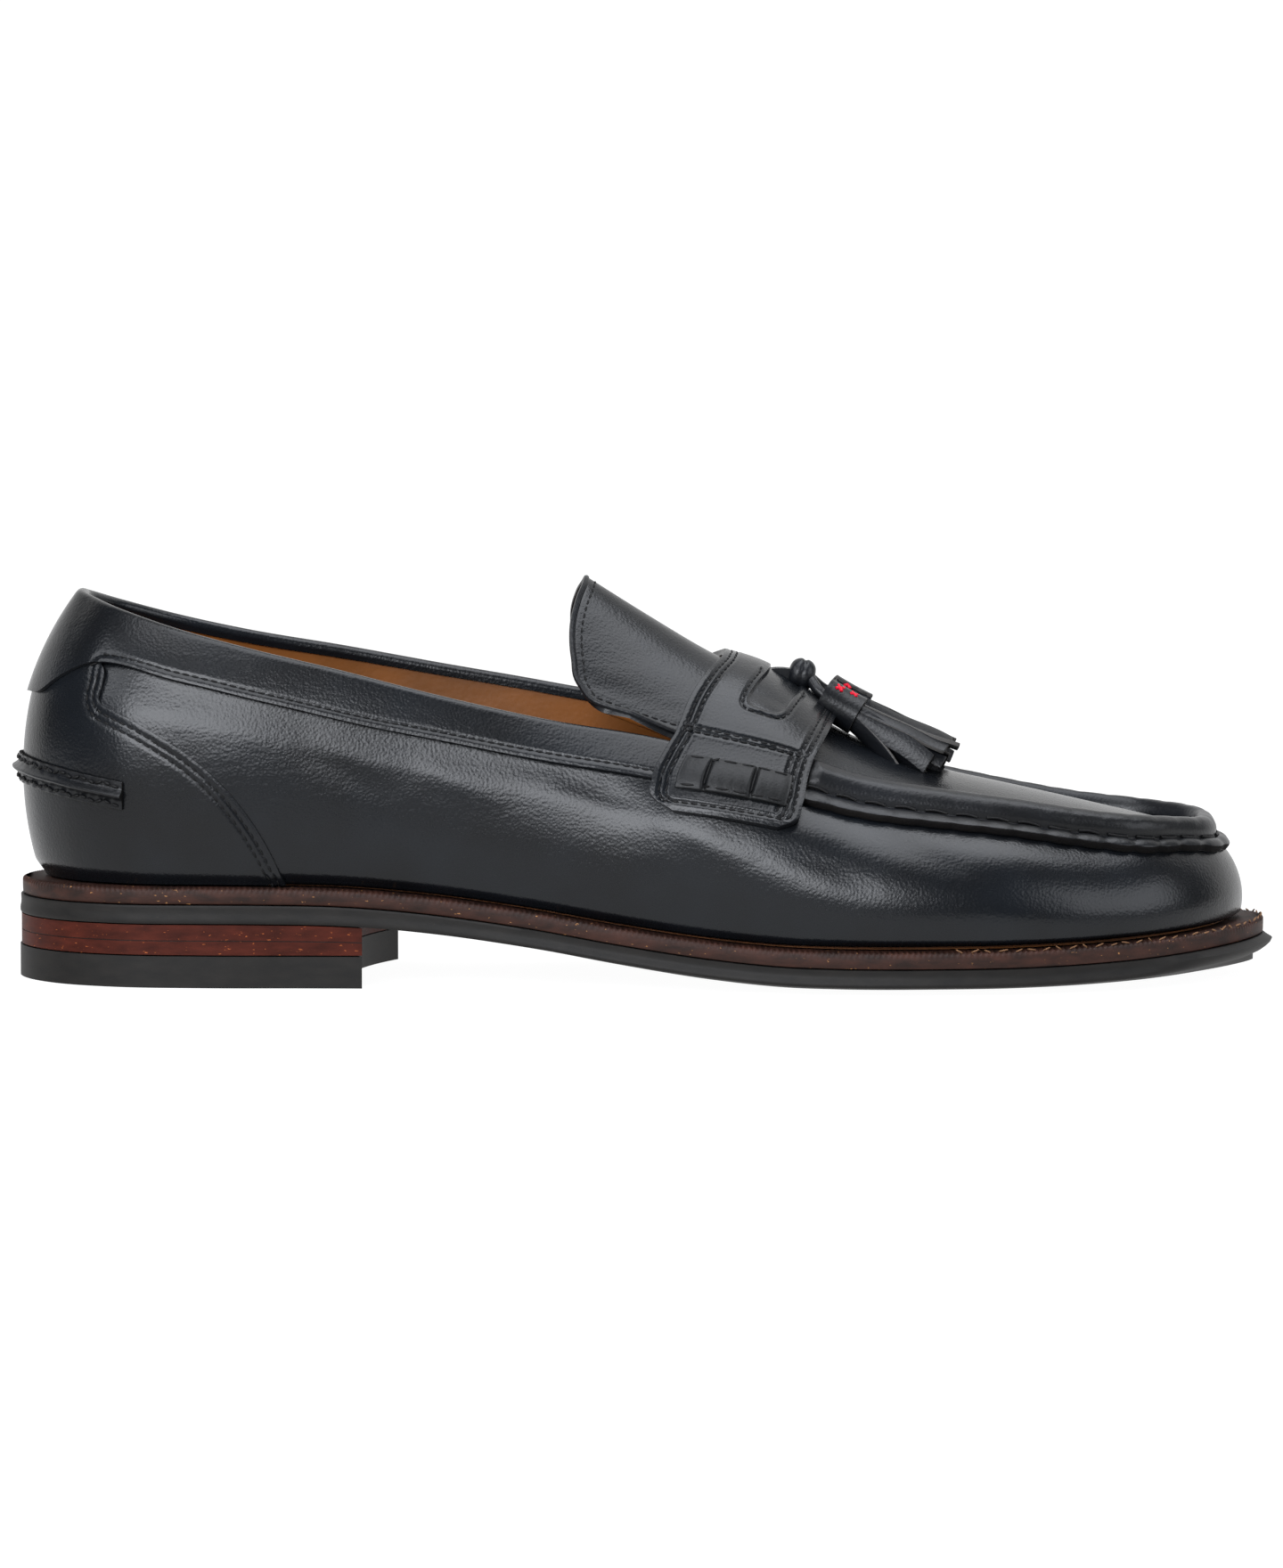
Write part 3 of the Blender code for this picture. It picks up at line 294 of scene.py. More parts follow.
    def tread_level(self, x: Array, share: Array) -> Array:
        """Underside of the outsole; share is 0 on the middle line and 1 at the edge."""
        heel = self.level_curve.at(np.atleast_1d(x) / self.sole_length)[:, 0]
        crown = self.outsole_crown * (1.0 - heel)
        crown = crown * (1.0 - np.maximum(0.0, (share - 0.5) / 0.5) ** 2)
        return self.sole_level(x) - self.outsole_thickness - crown

    def ridge_level(self, x: Array) -> Array:
        """Height of the middle line over the instep."""
        base = self.seat_level(self.sole_length * 0.70)
        return base + self.ridge_height * self.ridge_curve.at(np.asarray(x) / self.sole_length)[:, 0]

    def wall(self, u: Array, t: Array | float) -> Array:
        """Outer face of the upper's wall: u round the shoe, t from the sole (0) to the top (1)."""
        u = np.atleast_1d(np.asarray(u, float))
        t = (np.asarray(t, float) * np.ones(len(u)))[:, None]
        values = self.sections.at(u)
        foot, outward = self.edge(u, values[:, 0])
        base = np.column_stack([foot, self.seat_level(foot[:, 0]) + self.gap])
        out = np.column_stack([outward, np.zeros(len(u))])
        top = values[:, 4:7]
        up = np.zeros_like(base)
        up[:, 2] = top[:, 2] - base[:, 2]
        first = base + out * values[:, 1:2] + up * 0.31
        second = base + out * values[:, 2:3] + up * values[:, 3:4]
        s = 1.0 - t
        return base * s ** 3 + first * 3 * s * s * t + second * 3 * s * t * t + top * t ** 3

    def wall_normal(self, u: Array, t: Array | float) -> Array:
        """Outward directions of the wall."""
        u = np.atleast_1d(np.asarray(u, float))
        t = np.clip(np.asarray(t, float) * np.ones(len(u)), 0.01, 0.99)
        normal = unit(np.cross(self.wall(u + 0.003, t) - self.wall(u - 0.003, t),
                               self.wall(u, t + 0.01) - self.wall(u, t - 0.01)))
        outward = self.edge(u)[1]
        facing = normal[:, 0] * outward[:, 0] + normal[:, 1] * outward[:, 1]
        return np.where(facing[:, None] < 0, -normal, normal)

    def wall_out(self, u: Array, t: Array, off: Array | float) -> Array:
        """Wall, moved out along its own direction."""
        return self.wall(u, t) + self.wall_normal(u, t) * np.reshape(off * np.ones(len(u)), (-1, 1))

    def wall_place(self, u: Array, height: Array | float) -> Array:
        """Share up the wall at which it is this high."""
        u = np.atleast_1d(np.asarray(u, float))
        low, high = np.zeros(len(u)), np.ones(len(u))
        for _ in range(22):
            middle = (low + high) / 2
            below = self.wall(u, middle)[:, 2] < height
            low, high = np.where(below, middle, low), np.where(below, high, middle)
        return (low + high) / 2

    def below_rim(self, u: Array, drop: Array | float) -> Array:
        """Share up the wall at a distance down from its top."""
        u = np.atleast_1d(np.asarray(u, float))
        drop = np.asarray(drop, float) * np.ones(len(u))
        steps = np.stack([self.wall(u, 1.0 - k / 40) for k in range(41)])
        run = np.cumsum(np.linalg.norm(np.diff(steps, axis=0), axis=2), axis=0)
        run = np.concatenate([np.zeros((1, len(u))), run])
        found = [np.interp(d, run[:, i], np.arange(41)) for i, d in enumerate(drop)]
        return 1.0 - np.array(found) / 40

    def plug(self, u: Array, across: Array) -> Array:
        """Apron: arched rows between the lateral and the medial top of the wall."""
        left, right = self.wall(u, 1.0), self.wall(2.0 - np.asarray(u), 1.0)
        across = np.asarray(across, float)
        point = left + (right - left) * across[:, None]
        lift = self.ridge_level((left[:, 0] + right[:, 0]) / 2) - (left[:, 2] + right[:, 2]) / 2
        point[:, 2] += lift * (1.0 - np.abs(2 * across - 1) ** 1.9)
        return point

    def plug_level(self, x: Array, y: Array) -> Array:
        """Height of the apron over points of the plan."""
        u = np.interp(x, self.apron_reach, self.apron_places)
        left, right = self.wall(u, 1.0), self.wall(2.0 - u, 1.0)
        width = np.maximum(right[:, 1] - left[:, 1], MM)
        return self.plug(u, np.clip((y - left[:, 1]) / width, 0.0, 1.0))[:, 2]

    def body(self, x: Array, place: Array, medial: Array) -> Array:
        """Outside under the strap: up the wall (place 0 to 1), then over the arch (1 to 2)."""
        u = self.column_at(x)
        low = self.wall(np.where(medial, 2.0 - u, u), np.clip(place, 0.0, 1.0))
        across = np.clip((place - 1.0) / 2, 0.0, 1.0)
        high = self.plug(u, np.where(medial, 1.0 - across, across))
        return np.where((place <= 1.0)[:, None], low, high)

    def body_out(self, x: Array, place: Array, medial: Array, off: Array) -> Array:
        """Points off the body, along its mean direction there."""
        step = 2 * MM
        ahead = self.body(x + step, place, medial) - self.body(x - step, place, medial)
        upward = (self.body(x, np.minimum(place + 0.12, 2.0), medial)
                  - self.body(x, np.maximum(place - 0.12, 0.0), medial))
        near = np.full_like(place, 1.88)
        over = self.body(x, near, ~medial) - self.body(x, near, medial)
        upward = np.where((place > 1.9)[:, None], over, upward)
        normal = unit(np.cross(ahead, upward))
        normal = np.where(normal[:, 2:3] < 0, -normal, normal)
        return self.body(x, place, medial) + normal * off[:, None]


LAST = Last()


def linear(code: str) -> tuple[float, float, float, float]:
    """Scene-linear colour of an sRGB hex code."""
    parts = [int(code[i:i + 2], 16) / 255 for i in (0, 2, 4)]
    red, green, blue = (c / 12.92 if c <= 0.04045 else ((c + 0.055) / 1.055) ** 2.4 for c in parts)
    return red, green, blue, 1.0


def add_node(tree: bpy.types.NodeTree, kind: str, inputs: dict, **settings: object) -> bpy.types.Node:
    """Add a node with its settings, and set or link its inputs.

    Args:
        tree: the material's node tree.
        kind: the node's type name.
        inputs: value or output socket for each input, by name or number.
        settings: the node's own properties.

    Returns:
        The new node.
    """
    made = tree.nodes.new(kind)
    for name, value in settings.items():
        setattr(made, name, value)
    for name, value in inputs.items():
        if isinstance(value, bpy.types.NodeSocket):
            tree.links.new(value, made.inputs[name])
        else:
            made.inputs[name].default_value = value
    return made


def add_ramp(tree: bpy.types.NodeTree, source: bpy.types.NodeSocket,
             stops: Sequence[tuple[float, str]]) -> bpy.types.NodeSocket:
    """Colour ramp from sRGB stops.

    Args:
        tree: the material's node tree.
        source: the factor.
        stops: place and hex colour of each stop.

    Returns:
        The ramp's colour output.
    """
    ramp = add_node(tree, "ShaderNodeValToRGB", {"Fac": source})
    marks = ramp.color_ramp.elements
    while len(marks) < len(stops):
        marks.new(0.5)
    for mark, (place, code) in zip(marks, stops):
        mark.position = place
        mark.color = linear(code)
    return ramp.outputs["Color"]


@dataclass(frozen=True)
class Finish:
    """Material that is made once; each kind dresses it in its own way."""

    name: str

    def make(self) -> bpy.types.Material:
        """The material, built on its first use."""
        made = bpy.data.materials.get(self.name)
        if made is None:
            made = bpy.data.materials.new(self.name)
            made.use_nodes = True
            tree = made.node_tree
            place = add_node(tree, "ShaderNodeTexCoord", {}).outputs["Object"]
            self.dress(tree, tree.nodes["Principled BSDF"], place)
        return made

    def dress(self, tree: bpy.types.NodeTree, shader: bpy.types.Node,
              place: bpy.types.NodeSocket) -> None:
        """Lay out the nodes.

        Args:
            tree: the material's node tree.
            shader: its Principled shader.
            place: object coordinates.
        """
        raise NotImplementedError


@dataclass(frozen=True)
class Leather(Finish):
    """Calf leather with a plated grain: fine pebbles and short creases under a waxed film."""

    dark: str
    light: str
    roughness: float = 0.29
    specular: float = 0.25
    coat: float = 0.05
    grain_mm: float = 0.62
    grain_depth: float = 0.20
    wrinkle_depth: float = 0.075

    def dress(self, tree: bpy.types.NodeTree, shader: bpy.types.Node,
              place: bpy.types.NodeSocket) -> None:
        """Lay out the nodes."""
        # the dye lies a little thicker in some places than in others
        cloud = add_node(tree, "ShaderNodeTexNoise",
                         {"Vector": place, "Scale": 1 / (30 * MM), "Detail": 3.0})
        colour = add_ramp(tree, cloud.outputs["Fac"], ((0.35, self.dark), (0.70, self.light)))
        tree.links.new(colour, shader.inputs["Base Color"])
        # plated grain: small flat pebbles with creases between them
        grain = add_node(tree, "ShaderNodeTexVoronoi",
                         {"Vector": place, "Scale": 1 / (self.grain_mm * MM), "Randomness": 1.0},
                         feature="SMOOTH_F1")
        first = add_node(tree, "ShaderNodeBump",
                         {"Strength": self.grain_depth, "Distance": 0.25 * MM,
                          "Height": grain.outputs["Distance"]})
        # short creases that lean with the stretch of the hide, in drifts
        leaning = add_node(tree, "ShaderNodeMapping",
                           {"Vector": place, "Rotation": (0.25, 0.60, 0.15),
                            "Scale": (1.0, 1.6, 2.8)})
        creases = add_node(tree, "ShaderNodeTexNoise",
                           {"Vector": leaning.outputs["Vector"], "Scale": 1 / (2.6 * MM),
                            "Detail": 4.0, "Roughness": 0.70, "Distortion": 0.3},
                           noise_type="RIDGED_MULTIFRACTAL")
        drifts = add_node(tree, "ShaderNodeMapRange",
                          {"Value": cloud.outputs["Fac"], "From Min": 0.40, "From Max": 0.62,
                           "To Min": 0.15, "To Max": 1.0})
        ridges = add_node(tree, "ShaderNodeMath",
                          {0: creases.outputs["Fac"], 1: drifts.outputs["Result"]},
                          operation="MULTIPLY")
        second = add_node(tree, "ShaderNodeBump",
                          {"Strength": self.wrinkle_depth, "Distance": 0.3 * MM,
                           "Height": ridges.outputs["Value"], "Normal": first.outputs["Normal"]})
        # slow waves where the hide was stretched over the last
        waves = add_node(tree, "ShaderNodeTexNoise",
                         {"Vector": leaning.outputs["Vector"], "Scale": 1 / (16 * MM),
                          "Detail": 2.0, "Distortion": 0.4})
        third = add_node(tree, "ShaderNodeBump",
                         {"Strength": 0.09, "Distance": 1.2 * MM,
                          "Height": waves.outputs["Fac"], "Normal": second.outputs["Normal"]})
        tree.links.new(third.outputs["Normal"], shader.inputs["Normal"])
        # the wax is rubbed thinner along the creases
        spread = add_node(tree, "ShaderNodeMapRange",
                          {"Value": creases.outputs["Fac"], "From Min": 0.2, "From Max": 1.2,
                           "To Min": self.roughness - 0.02, "To Max": self.roughness + 0.09})
        tree.links.new(spread.outputs["Result"], shader.inputs["Roughness"])
        shader.inputs["Specular IOR Level"].default_value = self.specular
        shader.inputs["Coat Weight"].default_value = self.coat
        shader.inputs["Coat Roughness"].default_value = 0.30


@dataclass(frozen=True)
class Board(Finish):
    """Leatherboard or rubber with specks: ground leather pressed in sheets, or moulded rubber."""

    dark: str
    light: str
    speck: str
    roughness: float = 0.60
    speck_mm: float = 1.6
    speck_share: float = 0.10
    specular: float = 0.22
    bump: float = 0.25

    def dress(self, tree: bpy.types.NodeTree, shader: bpy.types.Node,
              place: bpy.types.NodeSocket) -> None:
        """Lay out the nodes."""
        # pressed fibres lie flat, so the clouds are longer than they are high
        flat = add_node(tree, "ShaderNodeMapping", {"Vector": place, "Scale": (1.0, 1.0, 3.0)})
        cloud = add_node(tree, "ShaderNodeTexNoise",
                         {"Vector": flat.outputs["Vector"], "Scale": 1 / (6 * MM), "Detail": 5.0})
        colour = add_ramp(tree, cloud.outputs["Fac"], ((0.32, self.dark), (0.72, self.light)))
        # loose crumbs of undyed leather
        crumbs = add_node(tree, "ShaderNodeTexNoise",
                          {"Vector": flat.outputs["Vector"], "Scale": 1 / (self.speck_mm * MM),
                           "Detail": 2.0, "Roughness": 0.7})
        edge = 0.5 + 0.5 * (0.5 - self.speck_share)
        share = add_node(tree, "ShaderNodeMapRange",
                         {"Value": crumbs.outputs["Fac"], "From Min": edge, "From Max": edge + 0.03})
        mixed = add_node(tree, "ShaderNodeMix",
                         {0: share.outputs["Result"], 6: colour, 7: linear(self.speck)},
                         data_type="RGBA")
        tree.links.new(mixed.outputs[2], shader.inputs["Base Color"])
        fine = add_node(tree, "ShaderNodeTexNoise",
                        {"Vector": flat.outputs["Vector"], "Scale": 1 / (0.7 * MM), "Detail": 3.0})
        bump = add_node(tree, "ShaderNodeBump",
                        {"Strength": self.bump, "Distance": 0.2 * MM, "Height": fine.outputs["Fac"]})
        tree.links.new(bump.outputs["Normal"], shader.inputs["Normal"])
        shader.inputs["Roughness"].default_value = self.roughness
        shader.inputs["Specular IOR Level"].default_value = self.specular


@dataclass(frozen=True)
class Thread(Finish):
    """Waxed sewing thread: twisted plies with a dull sheen."""

    colour: str
    roughness: float = 0.55

    def dress(self, tree: bpy.types.NodeTree, shader: bpy.types.Node,
              place: bpy.types.NodeSocket) -> None:
        """Lay out the nodes."""
        plies = add_node(tree, "ShaderNodeTexNoise",
                         {"Vector": place, "Scale": 1 / (0.35 * MM), "Detail": 2.0})
        bump = add_node(tree, "ShaderNodeBump",
                        {"Strength": 0.4, "Distance": 0.15 * MM, "Height": plies.outputs["Fac"]})
        tree.links.new(bump.outputs["Normal"], shader.inputs["Normal"])
        shader.inputs["Base Color"].default_value = linear(self.colour)
        shader.inputs["Roughness"].default_value = self.roughness
        shader.inputs["Specular IOR Level"].default_value = 0.2


POLISHED_CALF = Leather("polished_black_calf_plated", "07080A", "0F1216")
ROLLED_CALF = Leather("rolled_black_calf_edge", "08090B", "111317", roughness=0.38, coat=0.03,
                      wrinkle_depth=0.15)
DULL_CALF = Leather("gathered_black_calf", "060708", "0C0E11", roughness=0.48, specular=0.26,
                    coat=0.0, wrinkle_depth=0.25)
LINING = Leather("tan_pigskin_lining", "643C18", "7C4A1E", roughness=0.50, coat=0.0,
                 grain_mm=1.1, wrinkle_depth=0.05)
RAW_EDGE = Leather("raw_cut_edge_black_calf", "060505", "0F0D0C", roughness=0.85, coat=0.0,
                   specular=0.10, grain_depth=0.5)
PALE_EDGE = Leather("raw_cut_edge_grey_calf", "2C2B2A", "5C5A58", roughness=0.85, coat=0.0,
                    specular=0.15, grain_depth=0.5)
WELT_BOARD = Board("pressed_leatherboard_welt", "1D0F0A", "371E16", "94683E", speck_share=0.11)
STACK_BOARD = Board("stained_leatherboard_stack", "2E0F08", "441A10", "8C4A26", roughness=0.55,
                    speck_share=0.14, specular=0.10, bump=0.12)
GLUE_LINE = Board("dark_glue_line", "190B08", "24120D", "2A1710", roughness=0.5)
SOLE_RUBBER = Board("moulded_black_rubber", "0F0E0D", "181614", "1E1B18", roughness=0.60,
                    speck_share=0.05, bump=0.10)
BLACK_THREAD = Thread("waxed_black_thread", "060607")
TAN_THREAD = Thread("waxed_tan_thread", "6E5038", roughness=0.7)
RED_THREAD = Thread("waxed_red_thread", "C4102A", roughness=0.5)


def laid_grid(columns: int, rows: int, surface: Surface) -> bmesh.types.BMesh:
    """Grid whose corners run over 0 to 1 both ways, laid on a surface.

    Args:
        columns: faces along the first way.
        rows: faces along the second way.
        surface: points for the two ways' shares.

    Returns:
        A bmesh with the shares kept in the layers a and b.
    """
    bm = bmesh.new()
    bmesh.ops.create_grid(bm, x_segments=columns, y_segments=rows, size=0.5)
    a_layer = bm.verts.layers.float.new("a")
    b_layer = bm.verts.layers.float.new("b")
    shares = np.array([(v.co.x, v.co.y) for v in bm.verts]) + 0.5
    points = surface(shares[:, 0], shares[:, 1]) + ORIGIN
    for vert, (a, b), point in zip(bm.verts, shares, points):
        vert[a_layer], vert[b_layer] = a, b
        vert.co = point
    return bm


def finished(name: str, bm: bmesh.types.BMesh, finishes: Sequence[Finish], replaced: Sequence[str] = (),
             angle: float = 40.0) -> bpy.types.Object:
    """Turn a bmesh into a piece that rides on the shoe.

    Args:
        name: the piece's name.
        bm: its shape, freed here.
        finishes: one finish for each material index.
        replaced: the nodes that it stands for.
        angle: sharpest angle, in degrees, that is still shaded smooth.

    Returns:
        The new object.
    """
    mesh = bpy.data.meshes.new(name)
    bm.to_mesh(mesh)
    bm.free()
    mesh.shade_smooth()
    mesh.set_sharp_from_angle(angle=math.radians(angle))
    for finish in finishes:
        mesh.materials.append(finish.make())
    obj = bpy.data.objects.new(name, mesh)
    bpy.context.scene.collection.objects.link(obj)
    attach(obj, "root")
    if replaced:
        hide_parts(*replaced)
    LOG.info("%s: %d faces", name, len(mesh.polygons))
    return obj


def slab(columns: int, rows: int, under: Surface, over: Surface) -> bmesh.types.BMesh:
    """Closed solid between two surfaces over the same grid; its top faces have index 0."""
    bm = laid_grid(columns, rows, under)
    a_layer, b_layer = bm.verts.layers.float["a"], bm.verts.layers.float["b"]
    below = bm.faces[:]
    grown = bmesh.ops.extrude_face_region(bm, geom=below, use_keep_orig=True)["geom"]
    raised = [item for item in grown if isinstance(item, bmesh.types.BMVert)]
    shares = np.array([(v[a_layer], v[b_layer]) for v in raised])
    for vert, point in zip(raised, over(shares[:, 0], shares[:, 1]) + ORIGIN):
        vert.co = point
    for face in below:
        face.material_index = 1
    above = {item for item in grown if isinstance(item, bmesh.types.BMFace)}
    for face in bm.faces:
        if face not in above and face.material_index == 0:
            face.material_index = 2
    bmesh.ops.remove_doubles(bm, verts=bm.verts, dist=WELD)
    bmesh.ops.recalc_face_normals(bm, faces=bm.faces)
    return bm


def soften(obj: bpy.types.Object, width: float, segments: int = 2, angle: float = 50.0) -> None:
    """Round the cut edges of a piece with a Bevel modifier."""
    bevel = obj.modifiers.new("rounded_edges", "BEVEL")
    bevel.width = width
    bevel.segments = segments
    bevel.limit_method = "ANGLE"
    bevel.angle_limit = math.radians(angle)
    bevel.harden_normals = False


def skin_of(obj: bpy.types.Object) -> BVHTree:
    """Search tree over a piece's mesh, for laying thread on it."""
    bm = bmesh.new()
    bm.from_mesh(obj.data)
    tree = BVHTree.FromBMesh(bm)
    bm.free()
    return tree


def resample(points: Array, pitch: float, closed: bool = False) -> Array:
    """Points at even steps along a polyline."""
    if closed:
        points = np.vstack([points, points[:1]])
    run = run_of(points)
    count = max(2, round(run[-1] / pitch) + 1)
    where = np.linspace(0.0, run[-1], count)
    return np.column_stack([np.interp(where, run, points[:, i]) for i in range(3)])


@dataclass
class Seam:
    """A row of machine or hand stitches along a line on a surface."""

    pitch: float = 2.3 * MM
    gap: float = 0.45 * MM
    radius: float = 0.30 * MM
    sunk: float = 0.16 * MM

    def sew(self, bm: bmesh.types.BMesh, line: Array, skin: BVHTree) -> None:
        """Lay the stitches into a bmesh.

        Args:
            bm: gets one small pill for each stitch.
            line: the row's line, in the row frame.
            skin: the surface that it is sewn on.
        """
        row = bmesh.new()
        points = resample(line, self.pitch)
        for start, end in zip(points, points[1:]):
            found, normal = skin.find_nearest(Vector((start + end) / 2))[:2]
            along = Vector(end - start)
            length = along.length - self.gap
            along = (along - normal * along.dot(normal)).normalized()
            side = normal.cross(along).normalized()
            turn = Matrix((along, side, normal)).transposed().to_4x4()
            size = Matrix.Diagonal((length / 2, self.radius, self.radius * 0.9, 1.0))
            at = Matrix.Translation(found + normal * (self.radius * 0.5 - self.sunk))
            bmesh.ops.create_uvsphere(row, u_segments=6, v_segments=4, radius=1.0,
                                      matrix=at @ turn @ size @ Matrix.Rotation(math.pi / 2, 4, "Y"))
        join(bm, row)


def press(bm: bmesh.types.BMesh, line: Array, rows: Sequence[tuple[float, float, float]]) -> None:
    """Move the skin of a bmesh in or out in bands beside a line, as stitches and beads do.

    Args:
        bm: the piece's mesh.
        line: points of the line.
        rows: for each band its distance from the line, its height (negative is in) and half width.
    """
    samples = resample(line, 0.35 * MM)
    tree = KDTree(len(samples))
    for i, point in enumerate(samples):
        tree.insert(point, i)
    tree.balance()
    bm.normal_update()
    far = max(distance + 3 * width for distance, _, width in rows)
    moves = []
    for vert in bm.verts:
        away = tree.find(vert.co)[2]
        if away < far:
            moves.append((vert, sum(height * math.exp(-((away - distance) / width) ** 2)
                                    for distance, height, width in rows)))
    for vert, move in moves:
        vert.co += vert.normal * move


def beside(line: Array, normals: Array, inward: float) -> Array:
    """Line at a distance to the left of another one, seen from outside the skin."""
    along = unit(np.gradient(line, axis=0))
    return line + np.cross(normals, along) * inward


def tube(line: Array, radius: float | Array, sides: int = 8) -> bmesh.types.BMesh:
    """Round bar along a line, with closed ends."""
    curve = bpy.data.curves.new("bar", "CURVE")
    curve.dimensions = "3D"
    curve.bevel_depth = 1.0
    curve.bevel_resolution = max(1, sides // 4)
    curve.use_fill_caps = True
    spline = curve.splines.new("POLY")
    spline.points.add(len(line) - 1)
    radii = np.asarray(radius, float) * np.ones(len(line))
    for mark, point, size in zip(spline.points, line, radii):
        mark.co = (*point, 1.0)
        mark.radius = size
    holder = bpy.data.objects.new("bar", curve)
    bpy.context.scene.collection.objects.link(holder)
    graph = bpy.context.evaluated_depsgraph_get()
    mesh = bpy.data.meshes.new_from_object(holder.evaluated_get(graph))
    bm = bmesh.new()
    bm.from_mesh(mesh)
    bpy.data.objects.remove(holder)
    bpy.data.curves.remove(curve)
    bpy.data.meshes.remove(mesh)
    bmesh.ops.recalc_face_normals(bm, faces=bm.faces)
    return bm


def join(target: bmesh.types.BMesh, other: bmesh.types.BMesh, index: int = 0) -> None:
    """Add one bmesh to another, with a material index, and free it."""
    for face in other.faces:
        face.material_index = index
    join_kept(target, other)


def join_kept(target: bmesh.types.BMesh, other: bmesh.types.BMesh) -> None:
    """Add one bmesh to another with its own material indices, and free it."""
    mesh = bpy.data.meshes.new("joined")
    other.to_mesh(mesh)
    other.free()
    target.from_mesh(mesh)
    bpy.data.meshes.remove(mesh)


@dataclass
class Crease:
    """A soft trough or ridge in the vamp, laid in the side view."""

    start: tuple[float, float]
    end: tuple[float, float]
    width: float
    depth: float
    sides: tuple[Side, ...] = (Side.LATERAL,)

    def relief(self, points: Array) -> Array:
        """Depth at points of the upper, in metres."""
        a, b = np.array(self.start) * MM, np.array(self.end) * MM
        way = b - a
        flat = points[:, [0, 2]] - a
        along = flat @ way / (way @ way)
        across = np.abs(flat @ np.array([-way[1], way[0]])) / np.linalg.norm(way)
        fade = np.clip(1.0 - (2 * along - 1.0) ** 2, 0.0, 1.0)
        side = np.isin(np.sign(points[:, 1]), [s.value for s in self.sides])
        return self.depth * MM * np.exp(-(across / (self.width * MM)) ** 2) * fade * side


@dataclass
class Upper:
    """The hollow upper: wall all round with the apron in front, and its lining."""

    columns: int = 480
    rows: int = 60
    apron_rows: int = 40
    wall: float = 2.0 * MM
    throat: float = 177.5 * MM
    bulge: float = 0.65 * MM
    creases: list[Crease] = field(default_factory=lambda: [
        Crease((176.0, 36.0), (205.0, 24.0), 2.8, -0.26),
        Crease((184.0, 39.0), (214.0, 27.0), 2.6, 0.20),
        Crease((195.0, 40.0), (226.0, 27.0), 2.6, -0.22),
        Crease((206.0, 37.0), (238.0, 26.0), 2.6, 0.16),
        Crease((128.0, 50.0), (160.0, 40.0), 3.0, -0.30),
        Crease((150.0, 42.0), (176.0, 30.0), 3.0, 0.25),
        Crease((66.0, 58.0), (92.0, 44.0), 3.6, -0.25),
        Crease((95.0, 52.0), (118.0, 44.0), 3.0, 0.20),
        Crease((214.0, 32.0), (250.0, 20.0), 3.4, -0.22),
    ])

    def build(self) -> bpy.types.Object:
        """Make the upper."""
        bm = laid_grid(self.columns, self.rows, self._wall)
        half = self.columns // 2
        first = round(float(LAST.column_at(self.throat)) * half)
        bmesh.ops.remove_doubles(bm, verts=bm.verts, dist=WELD)
        tops = self._rim(bm)
        last = half - 3
        rows = []
        shares = np.arange(1, self.apron_rows) / self.apron_rows
        for i in range(first, last + 1):
            u = np.full(len(shares), 2.0 * i / self.columns)
            inner = [bm.verts.new(p) for p in LAST.plug(u, shares) + ORIGIN]
            rows.append([tops[i], *inner, tops[self.columns - i]])
        for near, far in zip(rows, rows[1:]):
            for k in range(self.apron_rows):
                bm.faces.new((near[k], near[k + 1], far[k + 1], far[k]))
        bm.faces.new(rows[-1] + tops[self.columns - last - 1:last:-1])
        bmesh.ops.recalc_face_normals(bm, faces=bm.faces)
        rear = min(bm.faces, key=lambda f: f.calc_center_median().x)
        if rear.normal.x > 0:
            bmesh.ops.reverse_faces(bm, faces=bm.faces)
        upper = finished("upper_skin", bm, (POLISHED_CALF, LINING), ("upper",))
        thick = upper.modifiers.new("wall", "SOLIDIFY")
        thick.thickness = self.wall
        thick.offset = -1.0
        thick.use_even_offset = False
        thick.material_offset = 1
        thick.material_offset_rim = 0
        return upper

    def _wall(self, a: Array, b: Array) -> Array:
        """Outer face, rolled in under the collar, with its creases."""
        u = 2.0 * a
        behind = collar_share(u)
        t = b * mix(1.0, LAST.below_rim(u, COLLAR_ROUND), behind)
        low = COLLAR_LOW.at(LAST.to_back(u))[:, 0]
        swell = self.bulge * ease((low - 0.01 - t) / 0.17) * ease(t / 0.10) * behind
        points = LAST.wall(u, t)
        depth = sum(crease.relief(points) for crease in self.creases) + swell - tuck(t)
        depth = depth + fullness(points[:, 0], t)
        return points + LAST.wall_normal(u, t) * depth[:, None]

    def _rim(self, bm: bmesh.types.BMesh) -> list:
        """Vertices of the top edge, in order round the shoe."""
        b_layer = bm.verts.layers.float["b"]
        rim = [v for v in bm.verts if v[b_layer] > 0.9999]
        shares = np.arange(self.columns) / self.columns
        targets = self._wall(shares, np.ones(self.columns)) + ORIGIN
        places = np.array([v.co for v in rim])
        return [rim[int(np.argmin(np.sum((places - t) ** 2, axis=1)))] for t in targets]


def fullness(x: Array, t: Array) -> Array:
    """Extra outward swell of the vamp below the apron seam, over its broad part."""
    along = ease((x - 140 * MM) / (26 * MM)) * ease((268 * MM - x) / (42 * MM))
    return 2.7 * MM * along * ease((t - 0.06) / 0.56) * ease((0.99 - t) / 0.38)


def tuck(t: Array) -> Array:
    """How far the upper draws in toward the feather line just above the welt."""
    return 1.3 * MM * ease((0.075 - t) / 0.075)


# distance below the rim at which the collar's leather starts to fold over it
COLLAR_ROUND = 2.1 * MM
